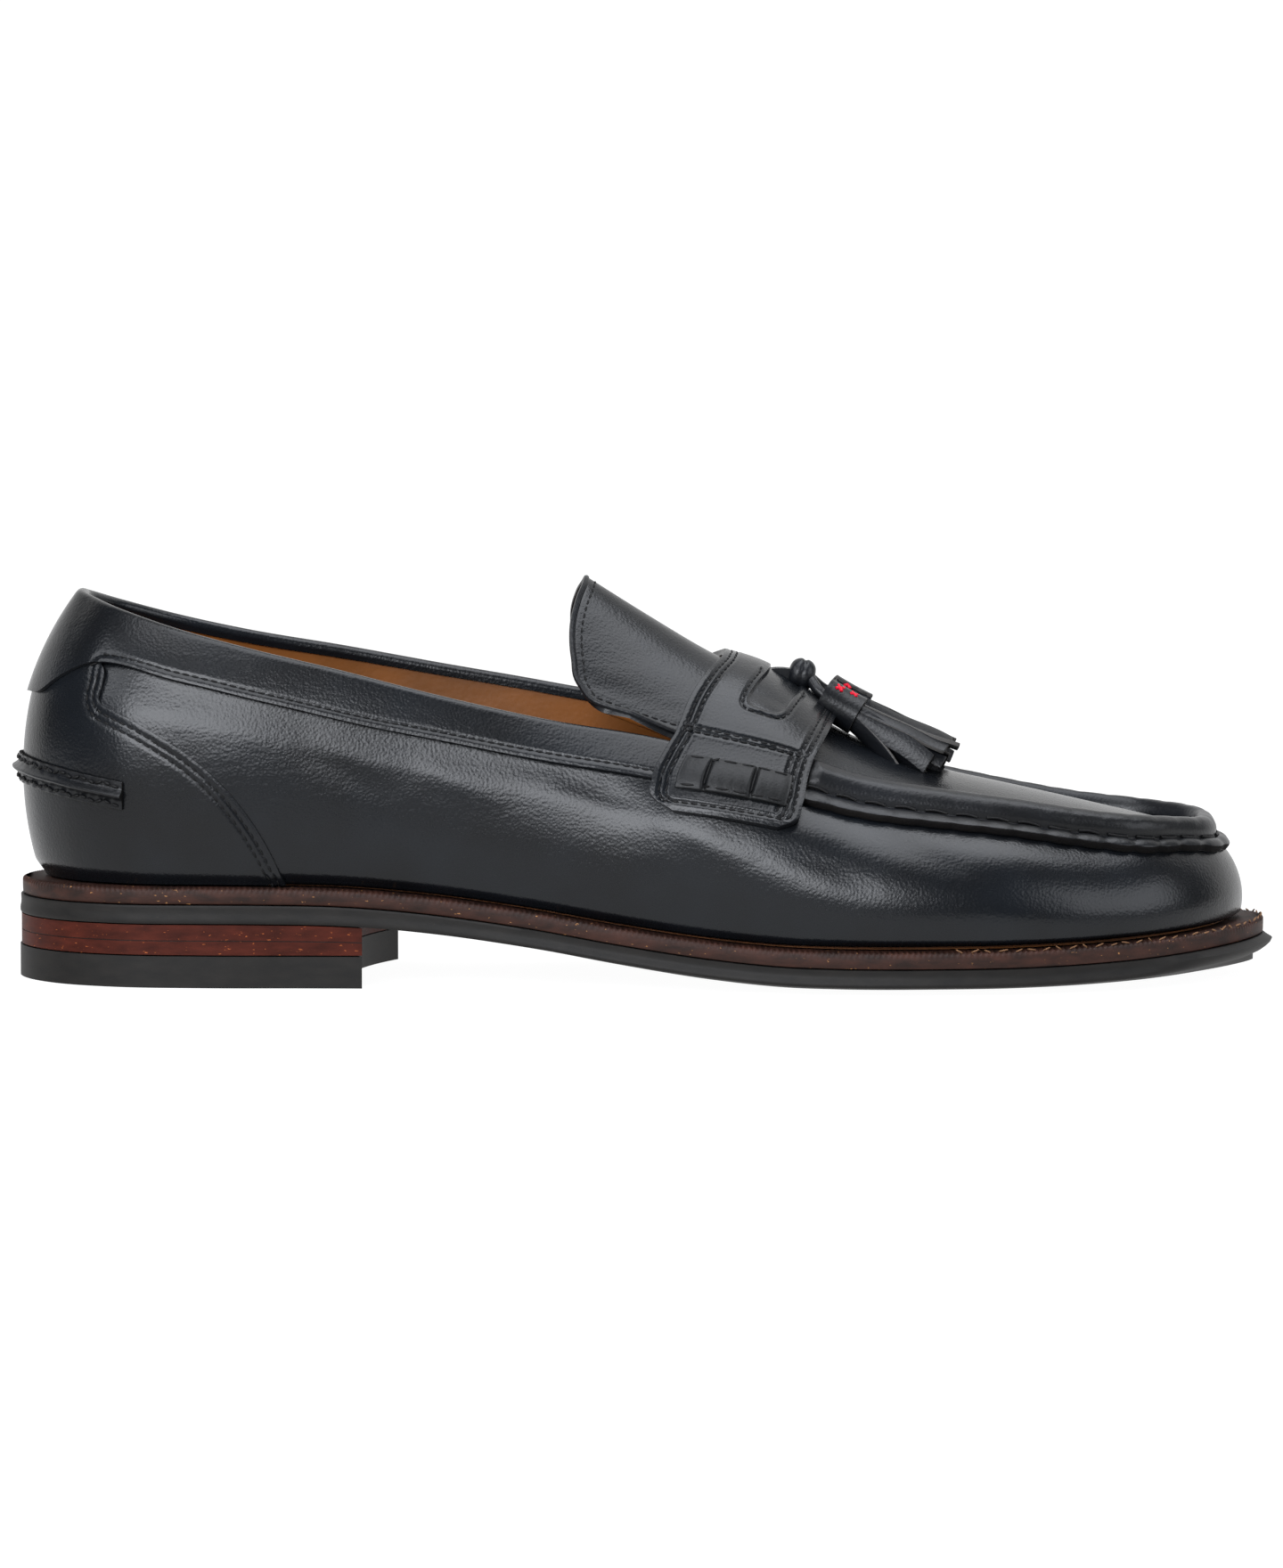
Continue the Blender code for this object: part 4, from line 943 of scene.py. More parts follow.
# lower edge of the collar piece, round from the back seam: place, share up the wall
COLLAR_LOW = Table((0.0, 0.020, 0.047, 0.0641, 0.0817, 0.0966, 0.1050, 0.1576, 0.2215, 0.2846,
                    0.3457, 0.4053, 0.4650, 0.5400),
                   (0.622, 0.6274, 0.640, 0.6863, 0.7339, 0.7694, 0.782, 0.7894, 0.7756, 0.756,
                    0.7601, 0.7539, 0.7482, 0.7350))


def collar_share(u: Array) -> Array:
    """How fully the collar is there: 1 behind the strap, fading to 0 under it."""
    return ease((161 * MM - LAST.x_of(u)) / (8 * MM))


@dataclass
class Trim:
    """Collar with its heel patch, counter and back strip, with their stitches."""

    collar_front: float = 163.0 * MM
    leather: float = 1.0 * MM
    off: float = 0.3 * MM
    inside: float = 1.2 * MM
    lean: float = 1.1 * MM
    inset: float = 1.9 * MM
    sewn_from: float = 0.104
    upper_wall: float = 2.0 * MM
    strip_length: float = 25.0 * MM
    strip_width: float = 6.5 * MM
    strip_height: float = 26.5 * MM
    strip_slope: float = 4.5 * MM
    piping: float = 1.6 * MM
    # counter's upper and front edge, from the back seam down to the sole: place, share up the wall
    counter_edge: tuple = (
        (0.0000, 0.630), (0.0300, 0.640), (0.0600, 0.690), (0.0850, 0.755), (0.1000, 0.790),
        (0.1059, 0.759), (0.1057, 0.698), (0.1046, 0.662), (0.1064, 0.646), (0.1154, 0.630),
        (0.1296, 0.613), (0.1504, 0.572), (0.1711, 0.517), (0.1920, 0.434), (0.2059, 0.357),
        (0.2196, 0.252), (0.2302, 0.139), (0.2392, 0.004))
    counter_turn: int = 5
    counter_rows: tuple = (1.7 * MM, 3.4 * MM)
    tack: tuple = ((0.0998, 0.835), (0.0979, 0.752))

    def __post_init__(self) -> None:
        """Start the mesh that takes all threads."""
        self.thread = bmesh.new()

    def build(self) -> None:
        """Make the panels."""
        self._collar()
        self._counter()
        self._strip()
        finished("heel_stitches", self.thread, (BLACK_THREAD,), angle=THREAD_ANGLE)

    def _collar(self) -> None:
        """Collar and heel patch in one piece, folded over the rim to the inside."""
        end = float(LAST.column_at(self.collar_front))
        fold, back = 0.62, 0.80

        def at(a: Array, b: Array, out: float) -> Array:
            u = mix(-end, end, a)
            there = collar_share(u)
            rise = np.minimum(b / fold, 1.0)
            off = (self.off + out) * mix(0.12, 1.0, there) + self.lean * there * (1.0 - 1.55 * rise)
            top = LAST.below_rim(u, COLLAR_ROUND)
            low = COLLAR_LOW.at(LAST.to_back(u))[:, 0]
            inner_low = LAST.below_rim(u, COLLAR_ROUND + self.inside)
            outer = LAST.wall_out(u, mix(low, top, rise), off)
            share = np.clip((b - back) / (1.0 - back), 0.0, 1.0)
            inner = LAST.wall_out(u, mix(top, inner_low, share), -self.upper_wall - off)
            middle = LAST.wall_out(u, top, -self.upper_wall / 2)
            normal = LAST.wall_normal(u, top)
            upward = unit(LAST.wall(u, 1.0) - LAST.wall(u, 0.97))
            turn = math.pi * np.clip((b - fold) / (back - fold), 0.0, 1.0)
            radius = (off + self.upper_wall / 2)[:, None]
            bent = middle + radius * (normal * np.cos(turn)[:, None] + upward * np.sin(turn)[:, None])
            return np.where((b <= fold)[:, None], outer,
                            np.where((b >= back)[:, None], inner, bent))

        bm = slab(520, 50, lambda a, b: at(a, b, 0.0), lambda a, b: at(a, b, self.leather))
        shares = np.linspace(0.0, 1.0, 900)
        places = mix(-end, end, shares)
        halves = [shares[side & (np.abs(places) > self.sewn_from)]
                  for side in (np.arange(900) < 450, np.arange(900) >= 450)]
        for part in halves:
            press(bm, at(part, np.zeros(len(part)), self.leather) + ORIGIN,
                  ((self.inset, -0.22 * MM, 0.42 * MM), (0.75 * MM, 0.12 * MM, 0.45 * MM)))
        collar = finished("folded_collar", bm, (POLISHED_CALF, RAW_EDGE, ROLLED_CALF),
                          ("heel_patch", "collar_band_lateral", "collar_band_medial"))
        soften(collar, 0.35 * MM)
        skin = skin_of(collar)
        for part in halves:
            height = np.linalg.norm(at(part, np.full(len(part), fold), self.leather)
                                    - at(part, np.zeros(len(part)), self.leather), axis=1)
            row = at(part, fold * self.inset / height, self.leather) + ORIGIN
            Seam().sew(self.thread, row, skin)
        self._tack(skin)

    def _tack(self, skin: BVHTree) -> None:
        """Bar tack where the collar, the counter and the quarter meet, on both sides."""
        for sign in (1, -1):
            for share in np.linspace(0.0, 1.0, 11):
                u, t = (mix(low, high, share) for low, high in zip(*self.tack))
                u = u * sign
                ends = LAST.wall_out(np.array([u - 0.0028, u + 0.0028]), np.full(2, t), 1.3 * MM)
                Seam(pitch=2.2 * MM, gap=0.1 * MM, radius=0.38 * MM,
                     sunk=0.0).sew(self.thread, ends + ORIGIN, skin)

    def _counter(self) -> None:
        """Counter round the heel, with two rows of stitches along its front edge."""
        edge = np.array(self.counter_edge)
        metric = edge * np.array([350.0, 60.0])
        run = run_of(metric)
        curve = Table(run / run[-1], edge)

        def at(a: Array, b: Array, out: float) -> Array:
            share = np.abs(2 * a - 1)
            top = curve.at(share)
            u = mix(share * edge[-1, 0], top[:, 0], b) * np.sign(2 * a - 1)
            t = mix(0.004, top[:, 1], b)
            return LAST.wall_out(u, t, out - tuck(t))

        outside = 1.25 * MM
        bm = slab(440, 60, lambda a, b: at(a, b, 0.2 * MM), lambda a, b: at(a, b, outside))
        turn = float(run[self.counter_turn] / run[-1])
        lines, normals = [], []
        for sign in (1, -1):
            share = 0.5 + sign * 0.5 * np.linspace(turn, 1.0, 400)
            lines.append(at(share, np.ones(400), outside) + ORIGIN)
            top = curve.at(np.linspace(turn, 1.0, 400))
            normals.append(LAST.wall_normal(top[:, 0] * sign, top[:, 1]))
            near, far = self.counter_rows
            press(bm, lines[-1], ((0.8 * MM, 0.10 * MM, 0.5 * MM), (near, -0.20 * MM, 0.45 * MM),
                                  (2.5 * MM, 0.08 * MM, 0.4 * MM), (far, -0.20 * MM, 0.45 * MM)))
        counter = finished("heel_counter", bm, (POLISHED_CALF, RAW_EDGE, ROLLED_CALF), ("counter",))
        soften(counter, 0.35 * MM)
        skin = skin_of(counter)
        for line, normal, sign in zip(lines, normals, (1, -1)):
            for inset in self.counter_rows:
                Seam().sew(self.thread, beside(line, normal, -sign * inset), skin)

    def _strip(self) -> None:
        """Strip round the back with its raised piping and crossed stitches."""
        reach = float(LAST.column_at(self.strip_length)) + 0.004

        def middle(u: Array) -> Array:
            return (float(LAST.seat_level(0.0)[0]) + self.strip_height
                    - self.strip_slope * LAST.x_of(u) / self.strip_length)

        def at(a: Array, b: Array, out: float) -> Array:
            u = mix(-reach, reach, a)
            height = middle(u) + self.strip_width * (b - 0.5)
            waves = 0.10 * MM * np.sin(a * 150.0) * np.abs(2 * b - 1)
            ridge = self.piping * np.exp(-((b - 0.5) / 0.13) ** 2) + waves if out else 0.0
            return LAST.wall_out(u, LAST.wall_place(u, height), 1.4 * MM + out + ridge)

        bm = slab(200, 48, lambda a, b: at(a, b, 0.0), lambda a, b: at(a, b, 0.85 * MM))
        strip = finished("back_seam_strip", bm, (ROLLED_CALF, RAW_EDGE, RAW_EDGE), ("back_strip",))
        soften(strip, 0.3 * MM)
        skin = skin_of(strip)
        for share in (0.17, 0.83):
            a = np.linspace(0.008, 0.992, 300)
            line = at(a, share + 0.075 * np.sin(a * math.pi * 30), 0.9 * MM) + ORIGIN
            Seam(pitch=2.3 * MM, gap=0.1 * MM, radius=0.42 * MM, sunk=0.0).sew(self.thread, line, skin)


@dataclass
class ApronSeam:
    """Raised hand-sewn seam round the apron: a roll on top and a raw, pleated lip outside it."""

    start: float = 185.0 * MM
    rings: int = 1000
    around: int = 64
    pleat: float = 7.2 * MM
    slimmer: float = 0.30
    far_fuller: float = 0.22
    # down the wall and up from the surface, in millimetres; how far a pleat draws it down and in
    section: tuple = (
        (-2.6, 1.2, 0.0, 0.0), (-1.8, 0.3, 0.0, 0.0), (0.6, 0.3, 0.0, 0.0), (4.5, 0.3, 0.0, 0.0),
        (9.4, 0.1, -0.6, 0.0), (10.1, 0.3, -0.9, 0.0), (10.1, 0.8, -1.0, 0.0),
        (9.8, 1.6, -1.0, -0.1), (9.3, 2.0, -0.8, -0.25), (7.8, 2.2, -0.2, -0.5),
        (6.3, 2.0, 0.1, -0.5), (5.2, 1.5, 0.2, -0.3), (4.6, 1.1, 0.2, -0.1), (4.2, 1.75, 0.0, 0.0),
        (3.6, 2.7, 0.0, 0.0), (2.6, 3.6, 0.0, -0.1), (1.4, 4.25, 0.0, -0.15),
        (0.2, 4.5, 0.0, -0.15), (-0.9, 4.2, 0.0, -0.1), (-1.8, 3.5, 0.0, 0.0),
        (-2.4, 2.4, 0.0, 0.0))
    raw: tuple = (5.2, 7.9)

    def build(self) -> None:
        """Make the seam and its threads."""
        u0 = float(LAST.column_at(self.start))
        table = Table(np.arange(len(self.section) + 1) / len(self.section),
                      [*self.section, self.section[0]])
        line = LAST.wall(np.linspace(u0, 2.0 - u0, 400), 1.0)
        run = run_of(line)
        self.length = float(run[-1])

        def surface(a: Array, b: Array) -> Array:
            u = mix(u0, 2.0 - u0, a)
            values = table.at(b)
            reach = np.interp(a, np.linspace(0, 1, len(run)), run)
            x = LAST.wall(u, 1.0)[:, 0]
            slim = self._slim(x)
            valley = 0.5 + 0.5 * np.cos(2 * math.pi * reach / self.pleat)
            valley = valley ** 2.6 * (0.25 + 0.45 * ease((x - 195 * MM) / (75 * MM)))
            ends = ease(np.minimum(a, 1 - a) * self.length / (3 * MM))
            down = (values[:, 0] + values[:, 2] * valley) * MM * slim
            up = (values[:, 1] + values[:, 3] * valley) * MM * (0.75 + 0.25 * ends)
            return self.point(u, down, up)

        bm = laid_grid(self.rings, self.around, surface)
        bmesh.ops.remove_doubles(bm, verts=bm.verts, dist=0.002 * MM)
        b_layer = bm.verts.layers.float["b"]
        bmesh.ops.holes_fill(bm, edges=[e for e in bm.edges if e.is_boundary], sides=0)
        for face in bm.faces:
            place = sum(v[b_layer] for v in face.verts) / len(face.verts) * len(self.section)
            face.material_index = int(self.raw[0] < place < self.raw[1])
        bmesh.ops.recalc_face_normals(bm, faces=bm.faces)
        seam = finished("apron_roll", bm, (ROLLED_CALF, RAW_EDGE), ("apron_seam",))
        self._threads(u0, run, skin_of(seam))

    def _slim(self, x: Array) -> Array:
        """Size of the section, which gets smaller toward the toe."""
        return 1.0 - self.slimmer * ease((x - 212 * MM) / (70 * MM))

    def point(self, u: Array, down: Array, up: Array) -> Array:
        """Point beside the seam: down the wall, or in over the apron where down is negative."""
        t = LAST.below_rim(u, np.maximum(down, 0.0))
        rim = LAST.wall(u, 1.0)
        up = up * (1.0 + self.far_fuller * ease((u - 1.0) / 0.12))
        outer = LAST.wall_out(u, t, up + fullness(rim[:, 0], t))
        along = LAST.wall(u + 0.004, 1.0) - LAST.wall(u - 0.004, 1.0)
        inward = unit(np.column_stack([-along[:, 1], along[:, 0], np.zeros(len(u))]))
        inside = rim + inward * np.maximum(-down, 0.0)[:, None]
        inside[:, 2] = np.maximum(LAST.plug_level(inside[:, 0], inside[:, 1]), rim[:, 2])
        normal = unit(LAST.wall_normal(u, 0.99) + np.array([0.0, 0.0, 1.5]))
        inner = inside + normal * up[:, None]
        share = ease((down + 0.8 * MM) / (1.6 * MM))[:, None]
        return mix(inner, outer, share)

    def _threads(self, u0: float, run: Array, skin: BVHTree) -> None:
        """Long hand stitches in the groove, one for each pleat."""
        bm = bmesh.new()
        count = int(self.length / self.pleat)
        for k in range(count):
            ends = np.array([k + 0.16, k + 0.84]) * self.pleat
            if ends[1] > self.length:
                break
            a = np.interp(ends, run, np.linspace(0, 1, len(run)))
            u = mix(u0, 2.0 - u0, a)
            slim = self._slim(LAST.wall(u, 1.0)[:, 0])
            start, end = self.point(u, np.array([4.5, 4.9]) * MM * slim,
                                    np.array([1.5, 1.5]) * MM) + ORIGIN
            lift = np.array(skin.find_nearest(Vector((start + end) / 2))[1]) * MM
            arc = np.array([mix(start, end, share) + lift * high for share, high in
                            ((0.0, 0.0), (0.25, 0.25), (0.5, 0.35), (0.75, 0.25), (1.0, 0.0))])
            join(bm, tube(resample(arc, 0.8 * MM), 0.38 * MM))
        finished("apron_hand_stitches", bm, (BLACK_THREAD,), angle=THREAD_ANGLE)


@dataclass
class Strap:
    """Saddle strap with its window, its gathered rolls and its rows of stitches."""

    thickness: float = 1.8 * MM
    overlay: float = 1.0 * MM
    window_depth: float = 0.9 * MM
    roll_height: float = 1.7 * MM
    span: float = 118 * MM
    width: float = 25 * MM
    # place on the body, rear edge, front edge, rear and front stand-off in overlays
    table: tuple = (
        (0.600, 0.5200, 0.6000, 0.3, 0.3), (0.640, 0.5060, 0.6110, 0.3, 0.5),
        (0.740, 0.5020, 0.6165, 0.4, 1.0), (0.880, 0.5090, 0.6185, 0.6, 2.1),
        (1.000, 0.5170, 0.6210, 0.9, 3.2), (1.250, 0.5290, 0.6290, 0.9, 3.1),
        (1.500, 0.5420, 0.6350, 0.7, 2.4), (1.750, 0.5530, 0.6390, 0.5, 1.8),
        (2.000, 0.5570, 0.6400, 0.4, 1.5))
    # window: share over the shoe from, to, share of the width from, to, and its corner
    window: tuple = (0.288, 0.712, 0.400, 0.665, 3.0 * MM)
    # roll: share over the shoe from, to, share of the width from, to
    roll: tuple = (0.068, 0.146, 0.165, 0.900)
    dents: tuple = (0.355, 0.665)

    def __post_init__(self) -> None:
        """Make the strap's curve."""
        self.places = [row[0] for row in self.table]
        self.curve = Table(self.places, [row[1:] for row in self.table])

    def point(self, a: Array, b: Array, off: Array | float = 0.0) -> Array:
        """Underside: a over the shoe from the lateral end, b forward."""
        a = np.clip(a, 0.0, 1.0)
        share = 1.0 - np.abs(2 * a - 1)
        place = mix(self.places[0], self.places[-1], share ** 1.3)
        values = self.curve.at(place)
        x = mix(values[:, 0], values[:, 1], b) * LAST.sole_length
        stand = mix(values[:, 2], values[:, 3], b) * self.overlay
        stand = stand + self.overlay * 1.1 * 4 * b * (1 - b) * np.maximum(0.0, place - 1.0)
        full = fullness(x, np.minimum(place, 1.0)) * (place < 1.0)
        return LAST.body_out(x, place, a > 0.5, stand + off + full)

    def _dip(self, a: Array, b: Array) -> Array:
        """Depth of the window's recess, which runs out softly at its lower ends."""
        low_a, high_a, low_b, high_b, corner = self.window
        across = (np.abs(a - (low_a + high_a) / 2) - (high_a - low_a) / 2) * self.span + corner
        along = (np.abs(b - (low_b + high_b) / 2) - (high_b - low_b) / 2) * self.width + corner
        outside = np.hypot(np.maximum(across, 0.0), np.maximum(along, 0.0))
        distance = outside + np.minimum(np.maximum(across, along), 0.0) - corner
        runout = ease((0.5 - np.abs(a - 0.5) - low_a) * self.span / (7 * MM))
        return self.window_depth * ease(0.5 - distance / (0.45 * MM)) * mix(0.25, 1.0, runout)

    def build(self) -> None:
        """Make the strap and what is sewn on it."""

        def over(a: Array, b: Array) -> Array:
            return self.point(a, b, self.thickness - self._dip(a, b))

        bm = slab(340, 100, self.point, over)
        rows = self._rows()
        for line in rows:
            press(bm, line, ((0.0, -0.28 * MM, 0.42 * MM), (0.95 * MM, 0.07 * MM, 0.35 * MM)))
        strap = finished("saddle", bm, (POLISHED_CALF, LINING, ROLLED_CALF), ("saddle_strap",))
        soften(strap, 0.55 * MM, 3)
        skin = skin_of(strap)
        thread = bmesh.new()
        for line in rows:
            Seam(pitch=2.2 * MM, radius=0.30 * MM).sew(thread, line, skin)
        finished("strap_stitches", thread, (BLACK_THREAD,), angle=THREAD_ANGLE)
        self._rolls()

    def _rows(self) -> list[Array]:
        """Stitch rows beside the strap's edges, round its window and above its rolls."""
        every = np.linspace(0.035, 0.965, 500)
        rows = [(every, np.full(500, share)) for share in (0.058, 0.108, 0.905, 0.953)]
        low = np.linspace(0.05, 0.93, 120)
        for end in (0.200, 0.2105, 0.034):
            rows += [(np.full(120, end), low), (np.full(120, 1.0 - end), low)]
        short = np.linspace(0.05, 0.20, 100)
        rows += [(short, np.full(100, 0.855)), (1.0 - short, np.full(100, 0.855))]
        rows.append(self._round_window(1.1 * MM))
        return [self.point(a, b, self.thickness) + ORIGIN for a, b in rows]

    def _round_window(self, out: float) -> tuple[Array, Array]:
        """Shares along a rounded line outside the window."""
        low_a, high_a, low_b, high_b, _ = self.window
        half_a = (high_a - low_a) / 2 + out / self.span
        half_b = (high_b - low_b) / 2 + out / self.width
        turn = np.linspace(0, 2 * math.pi, 600)
        a = np.sign(np.cos(turn)) * np.abs(np.cos(turn)) ** 0.16 * half_a
        b = np.sign(np.sin(turn)) * np.abs(np.sin(turn)) ** 0.42 * half_b
        return (low_a + high_a) / 2 + a, (low_b + high_b) / 2 + b

    def _rolls(self) -> None:
        """Gathered rolls at the strap's two ends, drawn in by two cross stitches each."""
        low, high, rear, front = self.roll
        thread = bmesh.new()
        for flip, name in ((False, "lateral"), (True, "medial")):

            def at(a: Array, b: Array, raised: bool, flip: bool = flip) -> Array:
                over = mix(low, high, a)
                over = 1.0 - over if flip else over
                along = mix(rear, front, b)
                dent = sum(np.exp(-((along - d) / 0.014) ** 2) for d in self.dents)
                ends = np.sin(math.pi * np.clip(b, 0.02, 0.98)) ** 0.25
                folds = 0.02 * np.sin(along * 61.0 + 4.0 * a) * np.sin(along * 29.0)
                bump = self.roll_height * np.sin(math.pi * mix(0.07, 0.93, a)) ** 0.55
                bump = bump * ends * (1.0 - 0.62 * dent + folds)
                base = self.thickness - 0.5 * MM
                return self.point(over, along, base + (bump + 0.75 * MM) * float(raised))

            bm = slab(30, 130, lambda a, b: at(a, b, False), lambda a, b: at(a, b, True))
            roll = finished("gathered_roll_" + name, bm, (DULL_CALF, DULL_CALF, DULL_CALF),
                            ("strap_roll_" + name,))
            soften(roll, 0.3 * MM)
            skin = skin_of(roll)
            b = np.linspace(0.03, 0.97, 80)
            for height in (0.93, 0.10):
                line = at(np.full(80, height), b, True) + ORIGIN
                Seam(pitch=4.2 * MM, gap=0.9 * MM, radius=0.34 * MM).sew(thread, line, skin)
            for dent in self.dents:
                share = (dent - rear) / (front - rear)
                line = at(np.linspace(0.10, 0.90, 30), np.full(30, share), True) + ORIGIN
                Seam(pitch=7.4 * MM, gap=0.3 * MM, radius=0.34 * MM).sew(thread, line, skin)
        finished("roll_threads", thread, (BLACK_THREAD,), angle=THREAD_ANGLE)


@dataclass
class Tongue:
    """Tongue behind the throat: rolled edge, one row of stitches, tan lining."""

    thickness: float = 1.8 * MM
    reach: float = 41.3 * MM
    inset: float = 2.9 * MM
    rise: float = 4.0 * MM
    throat: float = 177.5 * MM
    edge: tuple = ((0.00, 0.74), (0.04, 0.90), (0.14, 1.03), (0.29, 1.07), (0.46, 1.08),
                   (0.70, 1.045), (0.88, 1.008), (1.00, 1.00))

    def __post_init__(self) -> None:
        """Find where the tongue starts."""
        u = round(float(LAST.column_at(self.throat)) * 44) / 44
        self.left = float(LAST.wall(u, 1.0)[0, 0]) - 2 * LAST.gap
        self.right = float(LAST.wall(2.0 - u, 1.0)[0, 0]) - 2 * LAST.gap
        self.back = Table([r[0] for r in self.edge], [r[1:] for r in self.edge])

    def _side(self, share: Array, medial: bool) -> Array:
        """Side edge of the tongue."""
        start = self.right if medial else self.left
        x = start - self.reach * self.back.at(0.0)[0, 0] * share
        u = LAST.column_at(x)
        rim = LAST.wall(2.0 - u if medial else u, 1.0)
        inset = self.inset * np.minimum(1.0, 0.45 + 2.2 * share)
        sign = 1.0 if medial else -1.0
        return np.column_stack([x, rim[:, 1] - sign * inset, rim[:, 2] + self.rise * share ** 2])

    def top(self, a: Array, b: Array) -> Array:
        """Upper face: a backward from the throat, b over from the lateral side."""
        left, right = self._side(a, False), self._side(a, True)
        inward = 1.0 - np.abs(2 * b - 1)
        x = mix(self.left, self.right, b) - self.reach * a * self.back.at(inward)[:, 0]
        middle = mix(self.left, self.right, 0.5) - self.reach * a
        lift = LAST.ridge_level(middle) - (left[:, 2] + right[:, 2]) / 2
        arch = 1.0 - (1.0 - inward) ** mix(1.9, 1.6, a)
        return np.column_stack([x, mix(left[:, 1], right[:, 1], b),
                                mix(left[:, 2], right[:, 2], b) + lift * arch])

    def under(self, a: Array, b: Array) -> Array:
        """Lower face."""
        step = 0.01
        ahead = self.top(np.minimum(a + step, 1), b) - self.top(np.maximum(a - step, 0), b)
        side = self.top(a, np.minimum(b + step, 1)) - self.top(a, np.maximum(b - step, 0))
        normal = unit(np.cross(side, ahead))
        normal = np.where(normal[:, 2:3] < 0, -normal, normal)
        return self.top(a, b) - normal * self.thickness

    def build(self) -> None:
        """Make the tongue with its edge and stitches."""

        def spread(b: Array) -> Array:
            return mix(b, 0.5 - 0.5 * np.cos(math.pi * b), 0.6)

        bm = slab(64, 120, lambda a, b: self.under(a, spread(b)),
                  lambda a, b: self.top(a, spread(b)))
        tongue = finished("tongue_leather", bm, (POLISHED_CALF, LINING, ROLLED_CALF), ("tongue",))
        soften(tongue, 0.4 * MM)
        skin = skin_of(tongue)
        a, b = self._border()
        edge = tube(resample(self.top(a, b) + ORIGIN, 1.2 * MM), 0.75 * MM)
        finished("tongue_rolled_edge", edge, (ROLLED_CALF,))
        row = self.top(np.minimum(a, 0.95), np.clip(b, 0.045, 0.955)) + ORIGIN
        thread = bmesh.new()
        Seam().sew(thread, row, skin)
        finished("tongue_stitches", thread, (BLACK_THREAD,), angle=THREAD_ANGLE)

    def _border(self) -> tuple[Array, Array]:
        """Shares along the tongue's free edge, from the lateral throat round to the medial one."""
        a = np.linspace(0.05, 1.0, 60)
        b = np.linspace(0.0, 1.0, 160)
        return (np.concatenate([a, np.ones(160), a[::-1]]),
                np.concatenate([np.zeros(60), b, np.ones(60)]))


def toe_share(x: Array) -> Array:
    """How far the sole's edge has its toe shape: 0 behind the toe, 1 at its tip."""
    return ease((x - 262 * MM) / (30 * MM))


